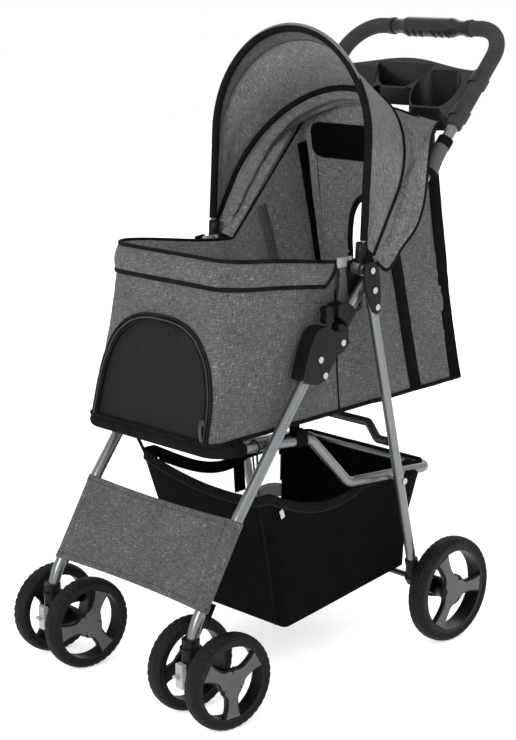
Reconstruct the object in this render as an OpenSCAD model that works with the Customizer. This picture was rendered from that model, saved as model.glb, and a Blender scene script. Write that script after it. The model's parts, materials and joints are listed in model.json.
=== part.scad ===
// Four-wheel folding pet stroller with a fabric cabin, fold-back canopy and storage basket.
// Origin: on the floor, under the middle of the bounding box. The front faces -Y, +Z is up.
// Units are millimetres.

/* [Frame] */
// Distance from the mid-plane to the handle arms and front legs
arm_x = 164; // [158:1:168]
// Outside diameter of the handle and front leg tubes
arm_od = 18; // [17:0.5:19]
// Distance from the mid-plane to the rear legs
rear_x = 181.5; // [181:0.5:184]
// Outside diameter of the rear leg tubes
rear_od = 16; // [14:0.5:16]
// Distance from the mid-plane to the seat frame's side tubes
seat_x = 146; // [140:1:146]
// Outside diameter of the seat frame tube
seat_od = 16; // [14:0.5:16]
// Wall thickness of all steel tubes
tube_wall = 1.2; // [1:0.1:2]

/* [Handle] */
// Slope of the handle arms above the horizontal, in degrees
handle_angle = 47.8; // [46:0.1:49]
// Distance along the arm from the main pivot to the crossbar
handle_reach = 513; // [500:1:515]
// Radius of the crossbar's corners
handle_corner = 58; // [50:1:70]
// Radius of the foam grip
foam_r = 13; // [12:0.5:14]
// Distance along the arm from the main pivot to the foam's lower end
foam_start = 314; // [310:1:330]
// Half length of the moulded centre grip
grip_half = 88; // [80:1:95]

/* [Wheels] */
// Radius of the front wheels
front_r = 73.5; // [70:0.5:75]
// Width of the front tyres
front_w = 30; // [26:1:32]
// Distance between the two wheels of a caster, centre to centre
pair_gap = 91; // [88:1:96]
// Distance from the caster pivot back to its axle
trail = 33; // [28:1:36]
// Angle that the casters are left turned to, in degrees
caster_turn = -5; // [-15:1:15]
// Radius of the rear wheels
rear_r = 88; // [84:0.5:90]
// Width of the rear tyres
rear_w = 32; // [28:1:34]
// Distance from the mid-plane to the middle of a rear wheel
rear_wheel_x = 209.5; // [209.5:0.5:214]

/* [Cabin] */
// Half width of the cabin outside
cabin_half = 147; // [140:1:148]
// Thickness of the padded fabric walls
cloth = 4; // [3:0.5:5]
// Half width of the rear entrance
door_half = 78; // [60:1:90]

/* [Basket] */
// Half width of the storage basket
basket_half = 136; // [125:1:136]

/* [Hidden] */
$fn = 48;
EPS = 0.01;
RUN = 0.05;      // radial running clearance of a pin in its hole
PIN_R = 3;       // frame rivets and pivot pins
HEAD_R = 5;
HEAD_H = 1.8;
LAP = 0.4;       // how far a straight run reaches into a bend
SWELL = 0.08;    // how much thicker a bend is than its straight runs

arm_r = arm_od / 2;
rear_leg_r = rear_od / 2;
seat_r = seat_od / 2;

// Points of the side view are [y, z] pairs.
fold_p = [18, 607];          // handle arm on rear leg
latch_p = [-35, 531];        // handle arm on front leg
leg_p = [-174, 388];         // front leg on seat frame
seat_p = [98, 287];          // rear leg on seat frame
canopy_p = [12, 638];        // canopy bows on hinge bracket
brake_p = [201, 66];         // brake pedal on axle bracket
hook_p = [-33, 581];         // latch hook on handle bracket
shell_pins = [[-84, 512], [-74, 486]]; // latch shell's lower rivets
caster_y = -339;
front_axle_z = front_r;
rear_axle = [191, rear_r];

leg_angle = 53.2;             // upper part of a front leg
leg_bend_z = 295;
rear_lean = 13.5;            // rear legs' lean from the vertical
leg_knee = [-331, 149];
leg_foot = [-338.5, 116];
leg_top_z = 520;
bow_y = 15;                  // front bow's plane at the height of its pivot
bow_r = 4.5;
bow_leg = 192;
bow_half = 168.5;
bow_lean = 2.9;              // front bow leans back from the vertical
stay_r = 2.5;
stay_turn = 60;

function on_handle(v, w = 0) = fold_p + v * [cos(handle_angle), sin(handle_angle)]
    + w * [-sin(handle_angle), cos(handle_angle)];
function on_leg(z) = [leg_p[0] + (z - leg_p[1]) / tan(leg_angle), z];
leg_bend = on_leg(leg_bend_z);
shin_angle = atan2(leg_bend[1] - leg_knee[1], leg_bend[0] - leg_knee[0]);
function on_shin(z) = leg_knee + (leg_bend - leg_knee) * (z - leg_knee[1]) / (leg_bend[1] - leg_knee[1]);
leg_path = [leg_foot, leg_knee, leg_bend, on_leg(leg_top_z)];
function on_rear(z) = [fold_p[0] - (z - fold_p[1]) * tan(rear_lean), z];
function at_x(x, p) = [x, p[0], p[1]];
function unit(v) = v / norm(v);
function trim(u, v, bend) = bend * tan(acos(max(-1, min(1, u * v))) / 2);

// ---- Helpers ----

module place(x_dir, y_dir, z_dir, p) {
    multmatrix([
        [x_dir[0], y_dir[0], z_dir[0], p[0]],
        [x_dir[1], y_dir[1], z_dir[1], p[1]],
        [x_dir[2], y_dir[2], z_dir[2], p[2]],
        [0, 0, 0, 1]
    ]) children();
}

// A round bar from a to b, bored through when inner is above 0
module bar(a, b, r, inner = 0) {
    z_dir = unit(b - a);
    help = abs(z_dir[0]) < 0.9 ? [1, 0, 0] : [0, 1, 0];
    x_dir = unit(cross(help, z_dir));
    long = norm(b - a);
    place(x_dir, cross(z_dir, x_dir), z_dir, a) difference() {
        cylinder(r = r, h = long);
        if (inner > 0) translate([0, 0, -1]) cylinder(r = inner, h = long + 2);
    }
}

// A piece of ring that turns direction u into direction v near point p
module elbow(p, u, v, bend, r, inner = 0) {
    turn = acos(u * v);
    side = unit(v - u * (u * v));
    centre = p - u * trim(u, v, bend) + side * bend;
    place(-side, u, cross(-side, u), centre)
        rotate_extrude(angle = turn) translate([bend, 0]) difference() {
            circle(r);
            if (inner > 0) circle(inner);
        }
}

// A round bar or tube along a path whose corners are bent to the given radius.
// A ring is a path whose last point is joined to its first.
module bent_bar(pts, bend, r, inner = 0, ring = false) {
    count = len(pts);
    runs = ring ? count : count - 1;
    dirs = [for (i = [0 : runs - 1]) unit(pts[(i + 1) % count] - pts[i])];
    bent = [for (i = [0 : count - 1]) ring || (i > 0 && i < count - 1)];
    // How far each corner's bend reaches into the runs beside it
    cut = [for (i = [0 : count - 1])
        bent[i] ? trim(dirs[(i + runs - 1) % runs], dirs[i % runs], bend) - LAP : 0];
    for (i = [0 : runs - 1]) {
        next = (i + 1) % count;
        bar(pts[i] + dirs[i] * cut[i], pts[next] - dirs[i] * cut[next], r, inner);
    }
    for (i = [0 : count - 1]) if (bent[i])
        elbow(pts[i], dirs[(i + runs - 1) % runs], dirs[i], bend, r + SWELL,
            inner > 0 ? inner - SWELL : 0);
}

// A steel tube along such a path
module bent_tube(pts, bend, r, ring = false) {
    bent_bar(pts, bend, r, r - tube_wall, ring);
}

// A side-view outline made solid between x0 and x1
module side_solid(x0, x1) {
    translate([x0, 0, 0]) rotate([90, 0, 90]) linear_extrude(x1 - x0) children();
}

module cross_pin(p, x0, x1, r) {
    translate([x0, p[0], p[1]]) rotate([0, 90, 0]) cylinder(r = r, h = x1 - x0);
}

module rivet(p, x0, x1, r = PIN_R) {
    cross_pin(p, x0, x1, r);
    cross_pin(p, x1 - EPS, x1 + HEAD_H, HEAD_R);
    cross_pin(p, x0 - HEAD_H, x0 + EPS, HEAD_R);
}

module side(s) {
    if (s > 0) children();
    else mirror([1, 0, 0]) children();
}

module both() {
    children();
    mirror([1, 0, 0]) children();
}

// ---- Handle ----

module handle_tube() {
    low = on_handle(-62);
    top = on_handle(handle_reach);
    pts = [at_x(arm_x, low), at_x(arm_x, top), at_x(-arm_x, top), at_x(-arm_x, low)];
    color("silver") difference() {
        bent_tube(pts, handle_corner, arm_r);
        both() cross_pin(fold_p, arm_x - 15, arm_x + 15, PIN_R + RUN);
    }
}

// Foam over each arm, its corner and half of the crossbar
module foam_sleeves() {
    low = on_handle(foam_start);
    top = on_handle(handle_reach);
    pts = [at_x(arm_x, low), at_x(arm_x, top), at_x(grip_half + 0.2, top)];
    color("dimgray") both() bent_bar(pts, handle_corner, foam_r, arm_r + 4 * RUN);
}

module centre_grip() {
    top = on_handle(handle_reach);
    color("dimgray") translate([0, top[0], top[1]]) rotate([0, 90, 0]) difference() {
        union() {
            cylinder(r = 12.2, h = 2 * grip_half, center = true);
            cylinder(r = 16.5, h = 96, center = true);
            for (s = [-1, 1]) {
                translate([0, 0, s * (grip_half - 4)])
                    cylinder(r = 14.6, h = 8, center = true);
                translate([0, 0, s * 55])
                    cylinder(r1 = s > 0 ? 16.5 : 12.2, r2 = s > 0 ? 12.2 : 16.5, h = 14, center = true);
            }
        }
        cylinder(r = arm_r + RUN, h = 3 * grip_half, center = true);
    }
}

// ---- Tray between the arms ----

tray_w = 6;                  // top face of the tray above the arms' centre line
tray_half = arm_x - foam_r - 0.6;
tray_floor_z = 832;
bin_floor_z = 866;
cup_y = 271;
cup_x = [70, 112];
cup_r = 25;

// The front edge dips towards the middle, and the back edge bows out
function tray_front(x) = 324 + 60 * pow(1 - pow(x / tray_half, 2), 1.2);
function tray_back(x) = 423 + 19 * (1 + cos(180 * x / tray_half)) / 2;
tray_steps = 24;
function tray_outline() = concat(
    [for (i = [0 : tray_steps]) let (x = tray_half * (2 * i / tray_steps - 1)) [x, tray_front(x)]],
    [for (i = [tray_steps : -1 : 0]) let (x = tray_half * (2 * i / tray_steps - 1)) [x, tray_back(x)]]
);

// Children drawn in the plane of the arms: x across, y along the arm, z out of it
module on_arms() {
    translate([0, fold_p[0], fold_p[1]]) rotate([handle_angle, 0, 0]) children();
}

module cup_plan(r) {
    for (x = cup_x) translate([x, cup_y]) circle(r);
    translate([cup_x[0], cup_y - r]) square([cup_x[1] - cup_x[0], 2 * r]);
}

module bin_plan(grow) {
    polygon([
        [-24 - grow, 270 - grow], [24 + grow, 270 - grow], [38 + grow, 276], [60 + grow, 297],
        [60 + grow, 303 + grow], [-60 - grow, 303 + grow], [-60 - grow, 297], [-38 - grow, 276]
    ]);
}

module under_tray_top() {
    on_arms() translate([-200, 250, tray_w - 150]) cube([400, 230, 150]);
}

module tray() {
    color([0.13, 0.13, 0.14]) difference() {
        union() {
            on_arms() translate([0, 0, tray_w - 4]) linear_extrude(4) polygon(tray_outline());
            intersection() {
                under_tray_top();
                union() {
                    both() translate([0, 0, tray_floor_z - 2.5]) linear_extrude(110) cup_plan(cup_r + 2.5);
                    translate([0, 0, bin_floor_z - 2.5]) linear_extrude(80) bin_plan(2.5);
                }
            }
            both() on_arms() for (v = [330, 396])
                translate([arm_x, v, 0]) rotate([-90, 0, 0]) cylinder(r = foam_r + 3, h = 22);
        }
        both() translate([0, 0, tray_floor_z]) linear_extrude(140) cup_plan(cup_r);
        translate([0, 0, bin_floor_z]) linear_extrude(100) bin_plan(0);
        both() on_arms() translate([arm_x, 300, 0]) rotate([-90, 0, 0])
            cylinder(r = foam_r + RUN, h = 150);
        // The clips are open on the outside, so that they snap over the foam
        both() on_arms() translate([arm_x + 7, 300, -30]) cube([20, 150, 60]);
    }
}

// ---- Latch between the handle arm and the front leg ----

module latch_bracket(s) {
    sleeve_r = 12.5;
    ear = [[-44, 572], [-44, 590], [-24, 592], [-12, 584], [-10, 570], [-26, 562]];
    color([0.08, 0.08, 0.08]) side(s) difference() {
        union() {
            bar(at_x(arm_x, on_handle(-66)), at_x(arm_x, on_handle(-38)), sleeve_r);
            side_solid(arm_x - 7.5, arm_x + 7.5)
                polygon([[-45, 535], [-37, 560], [-20, 556], [-16, 545], [-25, 527]]);
            cross_pin(latch_p, arm_x - 7.5, arm_x + 7.5, 11);
            for (x0 = [arm_x - 12, arm_x + 8]) side_solid(x0, x0 + 4) polygon(ear);
        }
        bar(at_x(arm_x, on_handle(-62)), at_x(arm_x, on_handle(-30)), arm_r + RUN);
        cross_pin(latch_p, arm_x - 20, arm_x + 20, PIN_R + RUN);
        cross_pin(hook_p, arm_x - 20, arm_x + 20, 2 + RUN);
        // Room for the hook's hub
        cross_pin(hook_p, arm_x - 7.6, arm_x + 7.6, 7);
    }
}

module latch_hook(s) {
    finger = [
        [-38, 577], [-45, 574], [-53, 567], [-58, 562.5], [-63, 562.5], [-66, 568],
        [-64, 577], [-67, 586], [-60, 590], [-48, 587], [-34, 586]
    ];
    color([0.08, 0.08, 0.08]) side(s) {
        side_solid(arm_x - 6.5, arm_x + 6.5) polygon(finger);
        cross_pin(hook_p, arm_x - 7.2, arm_x + 7.2, 6);
        cross_pin(hook_p, arm_x - 12.5, arm_x + 12.5, 2);
    }
}

module latch_shell(s) {
    outline = [
        [-108, 478], [-121, 486], [-115, 508], [-106, 532], [-95, 552], [-84, 560], [-70, 561],
        [-52, 551], [-24, 545], [-20, 528], [-32, 518], [-48, 512], [-59, 496], [-72, 479], [-90, 474]
    ];
    slot = [[-66, 546], [-50, 600], [40, 600], [40, 500], [-50, 500]];
    color([0.08, 0.08, 0.08]) side(s) difference() {
        side_solid(arm_x - 13, arm_x + 13) polygon(outline);
        side_solid(arm_x - 8.5, arm_x + 8.5) polygon(slot);
        bar(at_x(arm_x, on_leg(440)), at_x(arm_x, on_leg(leg_top_z)), arm_r + RUN);
        cross_pin(latch_p, arm_x - 30, arm_x + 30, PIN_R + RUN);
        for (p = shell_pins) cross_pin(p, arm_x - 30, arm_x + 30, PIN_R + RUN);
    }
}

module latch_rivets() {
    color("gainsboro") both() for (p = concat([latch_p], shell_pins))
        rivet(p, arm_x - 13, arm_x + 13);
}

// ---- Front legs ----

module front_leg(s) {
    color("silver") side(s) difference() {
        bent_tube([for (p = leg_path) at_x(arm_x, p)], 90, arm_r);
        cross_pin(shell_pins[0], arm_x - 30, arm_x + 30, PIN_R + RUN);
    }
}

socket_low = 100;
socket_high = 134;
stem_r = 5;
stem_top = 111.5;

module caster_sockets() {
    leg_line = [at_x(arm_x, leg_foot), at_x(arm_x, leg_knee), at_x(arm_x, on_shin(200))];
    color([0.06, 0.06, 0.06]) both() difference() {
        union() {
            translate([arm_x, caster_y, socket_low])
                cylinder(r = 13.5, h = socket_high - socket_low);
            translate([arm_x, caster_y, 116]) cylinder(r = 16.5, h = 5);
        }
        translate([arm_x, caster_y, socket_low - 1]) cylinder(r = stem_r + RUN, h = 13);
        bent_bar(leg_line, 90, arm_r + 0.15);
    }
}

module footrest_panel() {
    low = on_shin(167);
    high = on_shin(291);
    inner = arm_r + 0.3;
    color("dimgray") difference() {
        union() {
            both() bar(at_x(arm_x, low), at_x(arm_x, high), inner + 2);
            translate([-arm_x, low[0], low[1]]) rotate([shin_angle, 0, 0])
                translate([0, 0, inner]) cube([2 * arm_x, norm(high - low), 2]);
        }
        both() bar(at_x(arm_x, on_shin(160)), at_x(arm_x, on_shin(300)), inner);
    }
}

// ---- Casters ----

// Children drawn for a caster whose pivot is at x = 0, y = 0, with its axle towards +Y
module caster_frame(s) {
    translate([s * arm_x, caster_y, 0]) rotate([0, 0, caster_turn]) children();
}

axle_r = 4;
hub_half = pair_gap / 2 - front_w / 2 - 0.7;

module caster_fork(s) {
    color([0.06, 0.06, 0.06]) caster_frame(s) difference() {
        union() {
            translate([0, 0, 62]) cylinder(r = 13, h = socket_low - 62 - 0.5);
            translate([0, 0, 80]) cylinder(r = stem_r, h = stem_top - 80);
            side_solid(-10, 10) polygon([
                [0, 99], [12, 97], [26, 88], [trail + 6, front_axle_z + 8],
                [trail, front_axle_z - 13], [8, 62], [0, 62]
            ]);
            cross_pin([trail, front_axle_z], -hub_half, hub_half, 13);
        }
        cross_pin([trail, front_axle_z], -60, 60, axle_r + RUN);
    }
}

module front_axle(s) {
    reach = pair_gap / 2 + front_w / 2 - 6;
    color("gray") caster_frame(s) cross_pin([trail, front_axle_z], -reach, reach, axle_r);
}

module swivel_lock(s) {
    color([0.55, 0.56, 0.58]) caster_frame(s) difference() {
        union() {
            translate([-8, -22.5, 61]) cube([16, 9, 38]);
            translate([-5, -31, 79]) cube([10, 9, 4]);
        }
        cylinder(r = 14.2, h = 120);
    }
}

// ---- Wheels ----
// A wheel is drawn about the X axis, with its outer face towards +X, and then put in place.

function tyre_depth(r) = r * 0.145;
function rim_in(r) = r * 0.755;

module turned(r_from, r_to, x0, x1) {
    rotate([0, 90, 0]) rotate_extrude()
        translate([r_from, x0]) square([r_to - r_from, x1 - x0]);
}

module tyre(r, w) {
    deep = tyre_depth(r);
    round_r = deep * 0.62;
    color([0.05, 0.05, 0.05]) rotate([0, 90, 0]) rotate_extrude($fn = 96) intersection() {
        translate([r - deep, -w / 2]) square([deep, w]);
        union() {
            translate([r - deep, -w / 2]) square([deep - round_r, w]);
            translate([r - deep, -w / 2 + round_r]) square([deep, w - 2 * round_r]);
            for (s = [-1, 1]) translate([r - round_r, s * (w / 2 - round_r)]) circle(round_r);
        }
    }
}

// Half width of a spoke at distance d from the hub: narrow waist, flared root and end
function spoke_half(d, r) = 11 + 6 * pow(max(0, (d - 0.42 * r) / (0.34 * r)), 2)
    + 7 * pow(min(1, max(0, (0.36 * r - d) / (0.16 * r))), 2);

// One arm of the spoke star, pointing along +Y
module spoke_plan(r, from_d, to_d, thin) {
    steps = 8;
    ds = [for (i = [0 : steps]) from_d + (to_d - from_d) * i / steps];
    polygon(concat(
        [for (d = ds) [spoke_half(d, r) - thin, d]],
        [for (i = [steps : -1 : 0]) [-spoke_half(ds[i], r) + thin, ds[i]]]
    ));
}

// The outer web is placed in the wheel's plane with its arms at turn, turn + 120 and turn + 240
module web(r, turn, x0, x1, from_d, to_d, thin, hub) {
    translate([x0, 0, 0]) rotate([90, 0, 90]) linear_extrude(x1 - x0) {
        for (k = [0 : 2]) rotate(turn + 120 * k - 90) spoke_plan(r, from_d, to_d, thin);
        circle(hub);
    }
}

module rim(r, w, turn, bore) {
    deep = tyre_depth(r);
    in_r = rim_in(r);
    color([0.07, 0.07, 0.07]) difference() {
        union() {
            turned(in_r, r - deep - 0.1, -w / 2 + 2.5, w / 2 - 2.5);
            web(r, turn, w / 2 - 11, w / 2 - 4.5, 0.2 * r, in_r + 1, 0, 0.3 * r);
            turned(0, 0.19 * r, -w / 2 + 0.5, w / 2 - 5);
        }
        cross_pin([0, 0], -w, w / 2 - 5.4, bore);
        cross_pin([0, 0], w / 2 - 7, w, bore);
    }
}

module insert(r, w, turn) {
    color([0.42, 0.43, 0.45])
        web(r, turn, w / 2 - 4.5, w / 2 - 2, 0.12 * r, rim_in(r) * 0.97, 3, 0.2 * r);
}

// Moves a wheel to a caster: s is the side of the stroller, o is +1 for the wheel towards +X
module caster_wheel(s, o) {
    caster_frame(s) translate([o * pair_gap / 2, trail, front_axle_z])
        if (o > 0) children();
        else mirror([1, 0, 0]) children();
}

module rear_wheel(s) {
    side(s) translate([rear_wheel_x, rear_axle[0], rear_axle[1]]) children();
}

front_bore = axle_r + RUN;
rear_rod_r = 5;
rear_bore = rear_rod_r + RUN;

// Where each wheel has come to rest, by its first spoke
turn_left_outer = 30;
turn_left_inner = 75;
turn_right_inner = 65;
turn_right_outer = 10;
turn_rear_left = 117;
turn_rear_right = 40;

// ---- Rear frame ----

module rear_leg(s) {
    color("silver") side(s) difference() {
        bar(at_x(rear_x, on_rear(114)), at_x(rear_x, on_rear(622)), rear_leg_r, rear_leg_r - tube_wall);
        cross_pin(fold_p, rear_x - 20, rear_x + 20, PIN_R + RUN);
        cross_pin(on_rear(580), rear_x - 20, rear_x + 20, PIN_R + RUN);
        cross_pin(seat_p, rear_x - 20, rear_x + 20, PIN_R + RUN);
    }
}

// Joins the rear legs under the cabin
module rear_cross_tube() {
    end = [on_rear(352)[0], 352];
    reach = rear_x - rear_leg_r - 0.2;
    inner = arm_x - arm_r - 8;
    color("silver") bent_tube([
        [reach, end[0] + 1, 352], [inner, end[0] + 1, 352], [inner - 30, end[0] + 12, 372],
        [-inner + 30, end[0] + 12, 372], [-inner, end[0] + 1, 352], [-reach, end[0] + 1, 352]
    ], 12, 7);
}

plate_outline = [
    [-3, 650], [16, 652], [27, 640], [31, 618], [33, 596], [32, 573], [24, 568],
    [15, 573], [7, 590], [-2, 610], [-6, 632]
];
outer_face = 192.3;

module hinge_bracket(s) {
    color([0.07, 0.07, 0.07]) side(s) difference() {
        union() {
            side_solid(rear_x + rear_leg_r + 0.1, outer_face) polygon(plate_outline);
            cross_pin(canopy_p, 180, rear_x + rear_leg_r + 0.2, 7);
            side_solid(150.6, 154.4) polygon(plate_outline);
        }
        for (p = [fold_p, canopy_p, on_rear(580)]) cross_pin(p, 140, 200, PIN_R + RUN);
    }
}

module hinge_rivets() {
    color("gainsboro") both() {
        rivet(fold_p, 150.6, outer_face);
        rivet(canopy_p, 150.6, outer_face);
        rivet(on_rear(580), rear_x - rear_leg_r, outer_face);
    }
}

bracket_in = 170;
bracket_out = 192.4;

module axle_bracket(s) {
    foot = at_x(rear_x, on_rear(114));
    up = unit(at_x(rear_x, on_rear(200)) - foot);
    color([0.07, 0.07, 0.07]) side(s) difference() {
        union() {
            bar(foot - up * 8, foot + up * 34, rear_leg_r + 2.8);
            side_solid(bracket_in + 2, bracket_out - 2) polygon([
                [124, 112], [128, 142], [142, 140], [168, 112], [198, 98], [204, 84],
                [196, 75], [178, 76], [150, 92], [132, 100]
            ]);
            cross_pin(rear_axle, bracket_in, bracket_out, 14);
        }
        bar(foot, foot + up * 60, rear_leg_r + RUN);
        cross_pin(rear_axle, 100, 220, rear_rod_r + RUN);
        cross_pin(brake_p, 100, 220, 2.5 + RUN);
    }
}

module rear_axle_rod() {
    reach = rear_wheel_x + rear_w / 2 - 7.2;
    color([0.15, 0.15, 0.15]) cross_pin(rear_axle, -reach, reach, rear_rod_r);
}

// Push-on caps that keep the rod from sliding sideways in the brackets
module axle_caps() {
    color([0.1, 0.1, 0.1]) both() difference() {
        cross_pin(rear_axle, bracket_in - 6, bracket_in - 0.2, 9);
        cross_pin(rear_axle, 100, 220, rear_rod_r + RUN);
    }
}

module brake_pedal(s) {
    color([0.1, 0.1, 0.1]) side(s) {
        side_solid(bracket_in - 14, bracket_in - 7) polygon([
            [195, 72], [207, 73], [232, 58], [242, 57], [241, 52], [230, 51], [203, 58], [195, 62]
        ]);
        side_solid(bracket_in - 28, bracket_in - 7) polygon([[224, 57], [242, 57], [241, 52], [224, 52]]);
        cross_pin(brake_p, bracket_in - 7.1, bracket_out - 4, 2.5);
    }
}

// ---- Seat frame ----

seat_low = [214, 280];
seat_kink = [14, 293];
seat_rise = [-73, 381];
seat_front = [-272, 396];

module seat_tube() {
    side_run = [seat_low, seat_kink, seat_rise, seat_front];
    loop = concat(
        [for (p = side_run) at_x(seat_x, p)],
        [for (i = [3 : -1 : 0]) at_x(-seat_x, side_run[i])]
    );
    color("silver") difference() {
        bent_tube(loop, 28, seat_r, true);
        both() {
            cross_pin(leg_p, seat_x, seat_x + 20, PIN_R + RUN);
            cross_pin(seat_p, seat_x, seat_x + 20, PIN_R + RUN);
        }
    }
}

module seat_rivets() {
    color("gainsboro") both() {
        cross_pin(leg_p, seat_x + 2, arm_x - arm_r - 0.2, PIN_R);
        cross_pin(seat_p, seat_x + 2, rear_x + rear_leg_r + 0.3, PIN_R);
        cross_pin(seat_p, rear_x + rear_leg_r + 0.3, rear_x + rear_leg_r + 2.3, HEAD_R);
    }
}

// ---- Fabric and its stiffeners ----

cabin_outer = [
    [-276, 405], [-228, 672], [39, 648], [211, 838], [286, 420]
];
cabin_inner = [
    [-271, 409.2], [-219, 700], [30, 700], [150, 880], [198, 880], [281, 424.2]
];

// An upright arch in the side-view's depth: half width and the height of its crown
module arch_plan(half, low, high) {
    translate([-half, low]) square([2 * half, high - half - low]);
    translate([0, high - half]) circle(half);
}

module cabin_shell() {
    color("gray") difference() {
        side_solid(-cabin_half, cabin_half) polygon(cabin_outer);
        side_solid(-cabin_half + cloth, cabin_half - cloth) polygon(cabin_inner);
        translate([0, 320, 0]) rotate([90, 0, 0]) linear_extrude(150) arch_plan(door_half, 470, 715);
    }
}

module floor_board() {
    half = cabin_half - cloth - 3;
    color([0.2, 0.2, 0.2]) side_solid(-half, half)
        polygon([[-265, 410], [-264, 414], [276, 428.8], [277, 424.8]]);
}

// An arch on legs, standing in the plane that leans back to the given elevation
module bow_plan(half, leg, from) {
    translate([-half, from]) square([2 * half, leg - from]);
    intersection() {
        translate([0, leg]) circle(half);
        translate([-half, leg]) square([2 * half, half]);
    }
}

module leaning(elevation) {
    translate([0, canopy_p[0], canopy_p[1]]) rotate([elevation, 0, 0]) children();
}

module canopy_slab(elevation, half, leg) {
    leaning(elevation) linear_extrude(0.5, center = true) bow_plan(half, leg, 34);
}

module canopy_cover() {
    grow = cloth;
    color("gray") difference() {
        hull() {
            translate([0, 11, 0]) canopy_slab(90 - bow_lean, bow_half + 2.5, bow_leg - 2);
            canopy_slab(60, 187, 120);
            canopy_slab(52, 176, 112);
        }
        hull() {
            canopy_slab(94, bow_half + 2.5 - grow, bow_leg - 2);
            canopy_slab(60, 187 - grow, 120);
            canopy_slab(48, 176 - grow, 112);
        }
    }
}

module canopy_bow_front() {
    color("silver") difference() {
        union() {
            translate([0, bow_y, canopy_p[1]]) rotate([-bow_lean, 0, 0]) {
                both() bar([bow_half, 0, 6], [bow_half, 0, bow_leg], bow_r);
                translate([0, 0, bow_leg]) rotate([90, 0, 0])
                    rotate_extrude(angle = 180) translate([bow_half, 0]) circle(bow_r);
                both() bar([arm_x + 1, 0, 6], [arm_x + 1, 0, 39], 8.5);
            }
            both() cross_pin(canopy_p, arm_x - 8, arm_x + 8, 11);
        }
        both() cross_pin(canopy_p, arm_x - 20, arm_x + 20, PIN_R + RUN);
    }
}

module canopy_bow_middle() {
    half = 176.5;
    leg = 120;
    color("silver") difference() {
        union() {
            leaning(stay_turn) {
                both() bar([half, 6, 0], [half, leg, 0], stay_r);
                translate([0, leg, 0]) rotate_extrude(angle = 180) translate([half, 0]) circle(stay_r);
            }
            both() cross_pin(canopy_p, half - stay_r, half + stay_r, 8);
        }
        both() cross_pin(canopy_p, half - 10, half + 10, PIN_R + RUN);
    }
}

basket_outer = [
    [-112, 76], [-172, 300], [-150, 290], [-60, 264], [60, 266], [209, 264], [173, 114]
];
basket_inner = [[-108, 80], [-176.5, 330], [221, 330], [170, 118]];

module basket_bag() {
    color([0.05, 0.05, 0.05]) difference() {
        side_solid(-basket_half, basket_half) polygon(basket_outer);
        side_solid(-basket_half + cloth, basket_half - cloth) polygon(basket_inner);
    }
}

// ---- Nodes ----

handle_tube();
foam_sleeves();
centre_grip();
tray();
latch_bracket(1);  // latch_bracket_left
latch_bracket(-1);  // latch_bracket_right
latch_hook(1);  // latch_hook_left
latch_hook(-1);  // latch_hook_right
front_leg(1);  // front_leg_left
front_leg(-1);  // front_leg_right
latch_shell(1);  // latch_shell_left
latch_shell(-1);  // latch_shell_right
latch_rivets();
caster_sockets();
footrest_panel();
caster_fork(1);  // caster_fork_left
caster_fork(-1);  // caster_fork_right
front_axle(1);  // front_axle_left
front_axle(-1);  // front_axle_right
swivel_lock(1);  // swivel_lock_left
swivel_lock(-1);  // swivel_lock_right
caster_wheel(1, 1) tyre(front_r, front_w);  // front_tyre_left_outer
caster_wheel(1, -1) tyre(front_r, front_w);  // front_tyre_left_inner
caster_wheel(-1, 1) tyre(front_r, front_w);  // front_tyre_right_inner
caster_wheel(-1, -1) tyre(front_r, front_w);  // front_tyre_right_outer
caster_wheel(1, 1) rim(front_r, front_w, turn_left_outer, front_bore);  // front_rim_left_outer
caster_wheel(1, -1) rim(front_r, front_w, turn_left_inner, front_bore);  // front_rim_left_inner
caster_wheel(-1, 1) rim(front_r, front_w, turn_right_inner, front_bore);  // front_rim_right_inner
caster_wheel(-1, -1) rim(front_r, front_w, turn_right_outer, front_bore);  // front_rim_right_outer
caster_wheel(1, 1) insert(front_r, front_w, turn_left_outer);  // front_insert_left_outer
caster_wheel(1, -1) insert(front_r, front_w, turn_left_inner);  // front_insert_left_inner
caster_wheel(-1, 1) insert(front_r, front_w, turn_right_inner);  // front_insert_right_inner
caster_wheel(-1, -1) insert(front_r, front_w, turn_right_outer);  // front_insert_right_outer
rear_leg(1);  // rear_leg_left
rear_leg(-1);  // rear_leg_right
rear_cross_tube();
hinge_bracket(1);  // hinge_bracket_left
hinge_bracket(-1);  // hinge_bracket_right
hinge_rivets();
axle_bracket(1);  // axle_bracket_left
axle_bracket(-1);  // axle_bracket_right
rear_axle_rod();
axle_caps();
brake_pedal(1);  // brake_pedal_left
brake_pedal(-1);  // brake_pedal_right
rear_wheel(1) tyre(rear_r, rear_w);  // rear_tyre_left
rear_wheel(-1) tyre(rear_r, rear_w);  // rear_tyre_right
rear_wheel(1) rim(rear_r, rear_w, turn_rear_left, rear_bore);  // rear_rim_left
rear_wheel(-1) rim(rear_r, rear_w, turn_rear_right, rear_bore);  // rear_rim_right
rear_wheel(1) insert(rear_r, rear_w, turn_rear_left);  // rear_insert_left
rear_wheel(-1) insert(rear_r, rear_w, turn_rear_right);  // rear_insert_right
seat_tube();
seat_rivets();
floor_board();
cabin_shell();
canopy_bow_front();
canopy_bow_middle();
canopy_cover();
basket_bag();
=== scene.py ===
"""Folding pet stroller: fabrics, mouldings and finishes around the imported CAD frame.

X runs across the stroller, the front faces -Y and +Z is up. All lengths are in metres.
"""
import json
import math

import bpy
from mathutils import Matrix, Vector, noise


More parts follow.
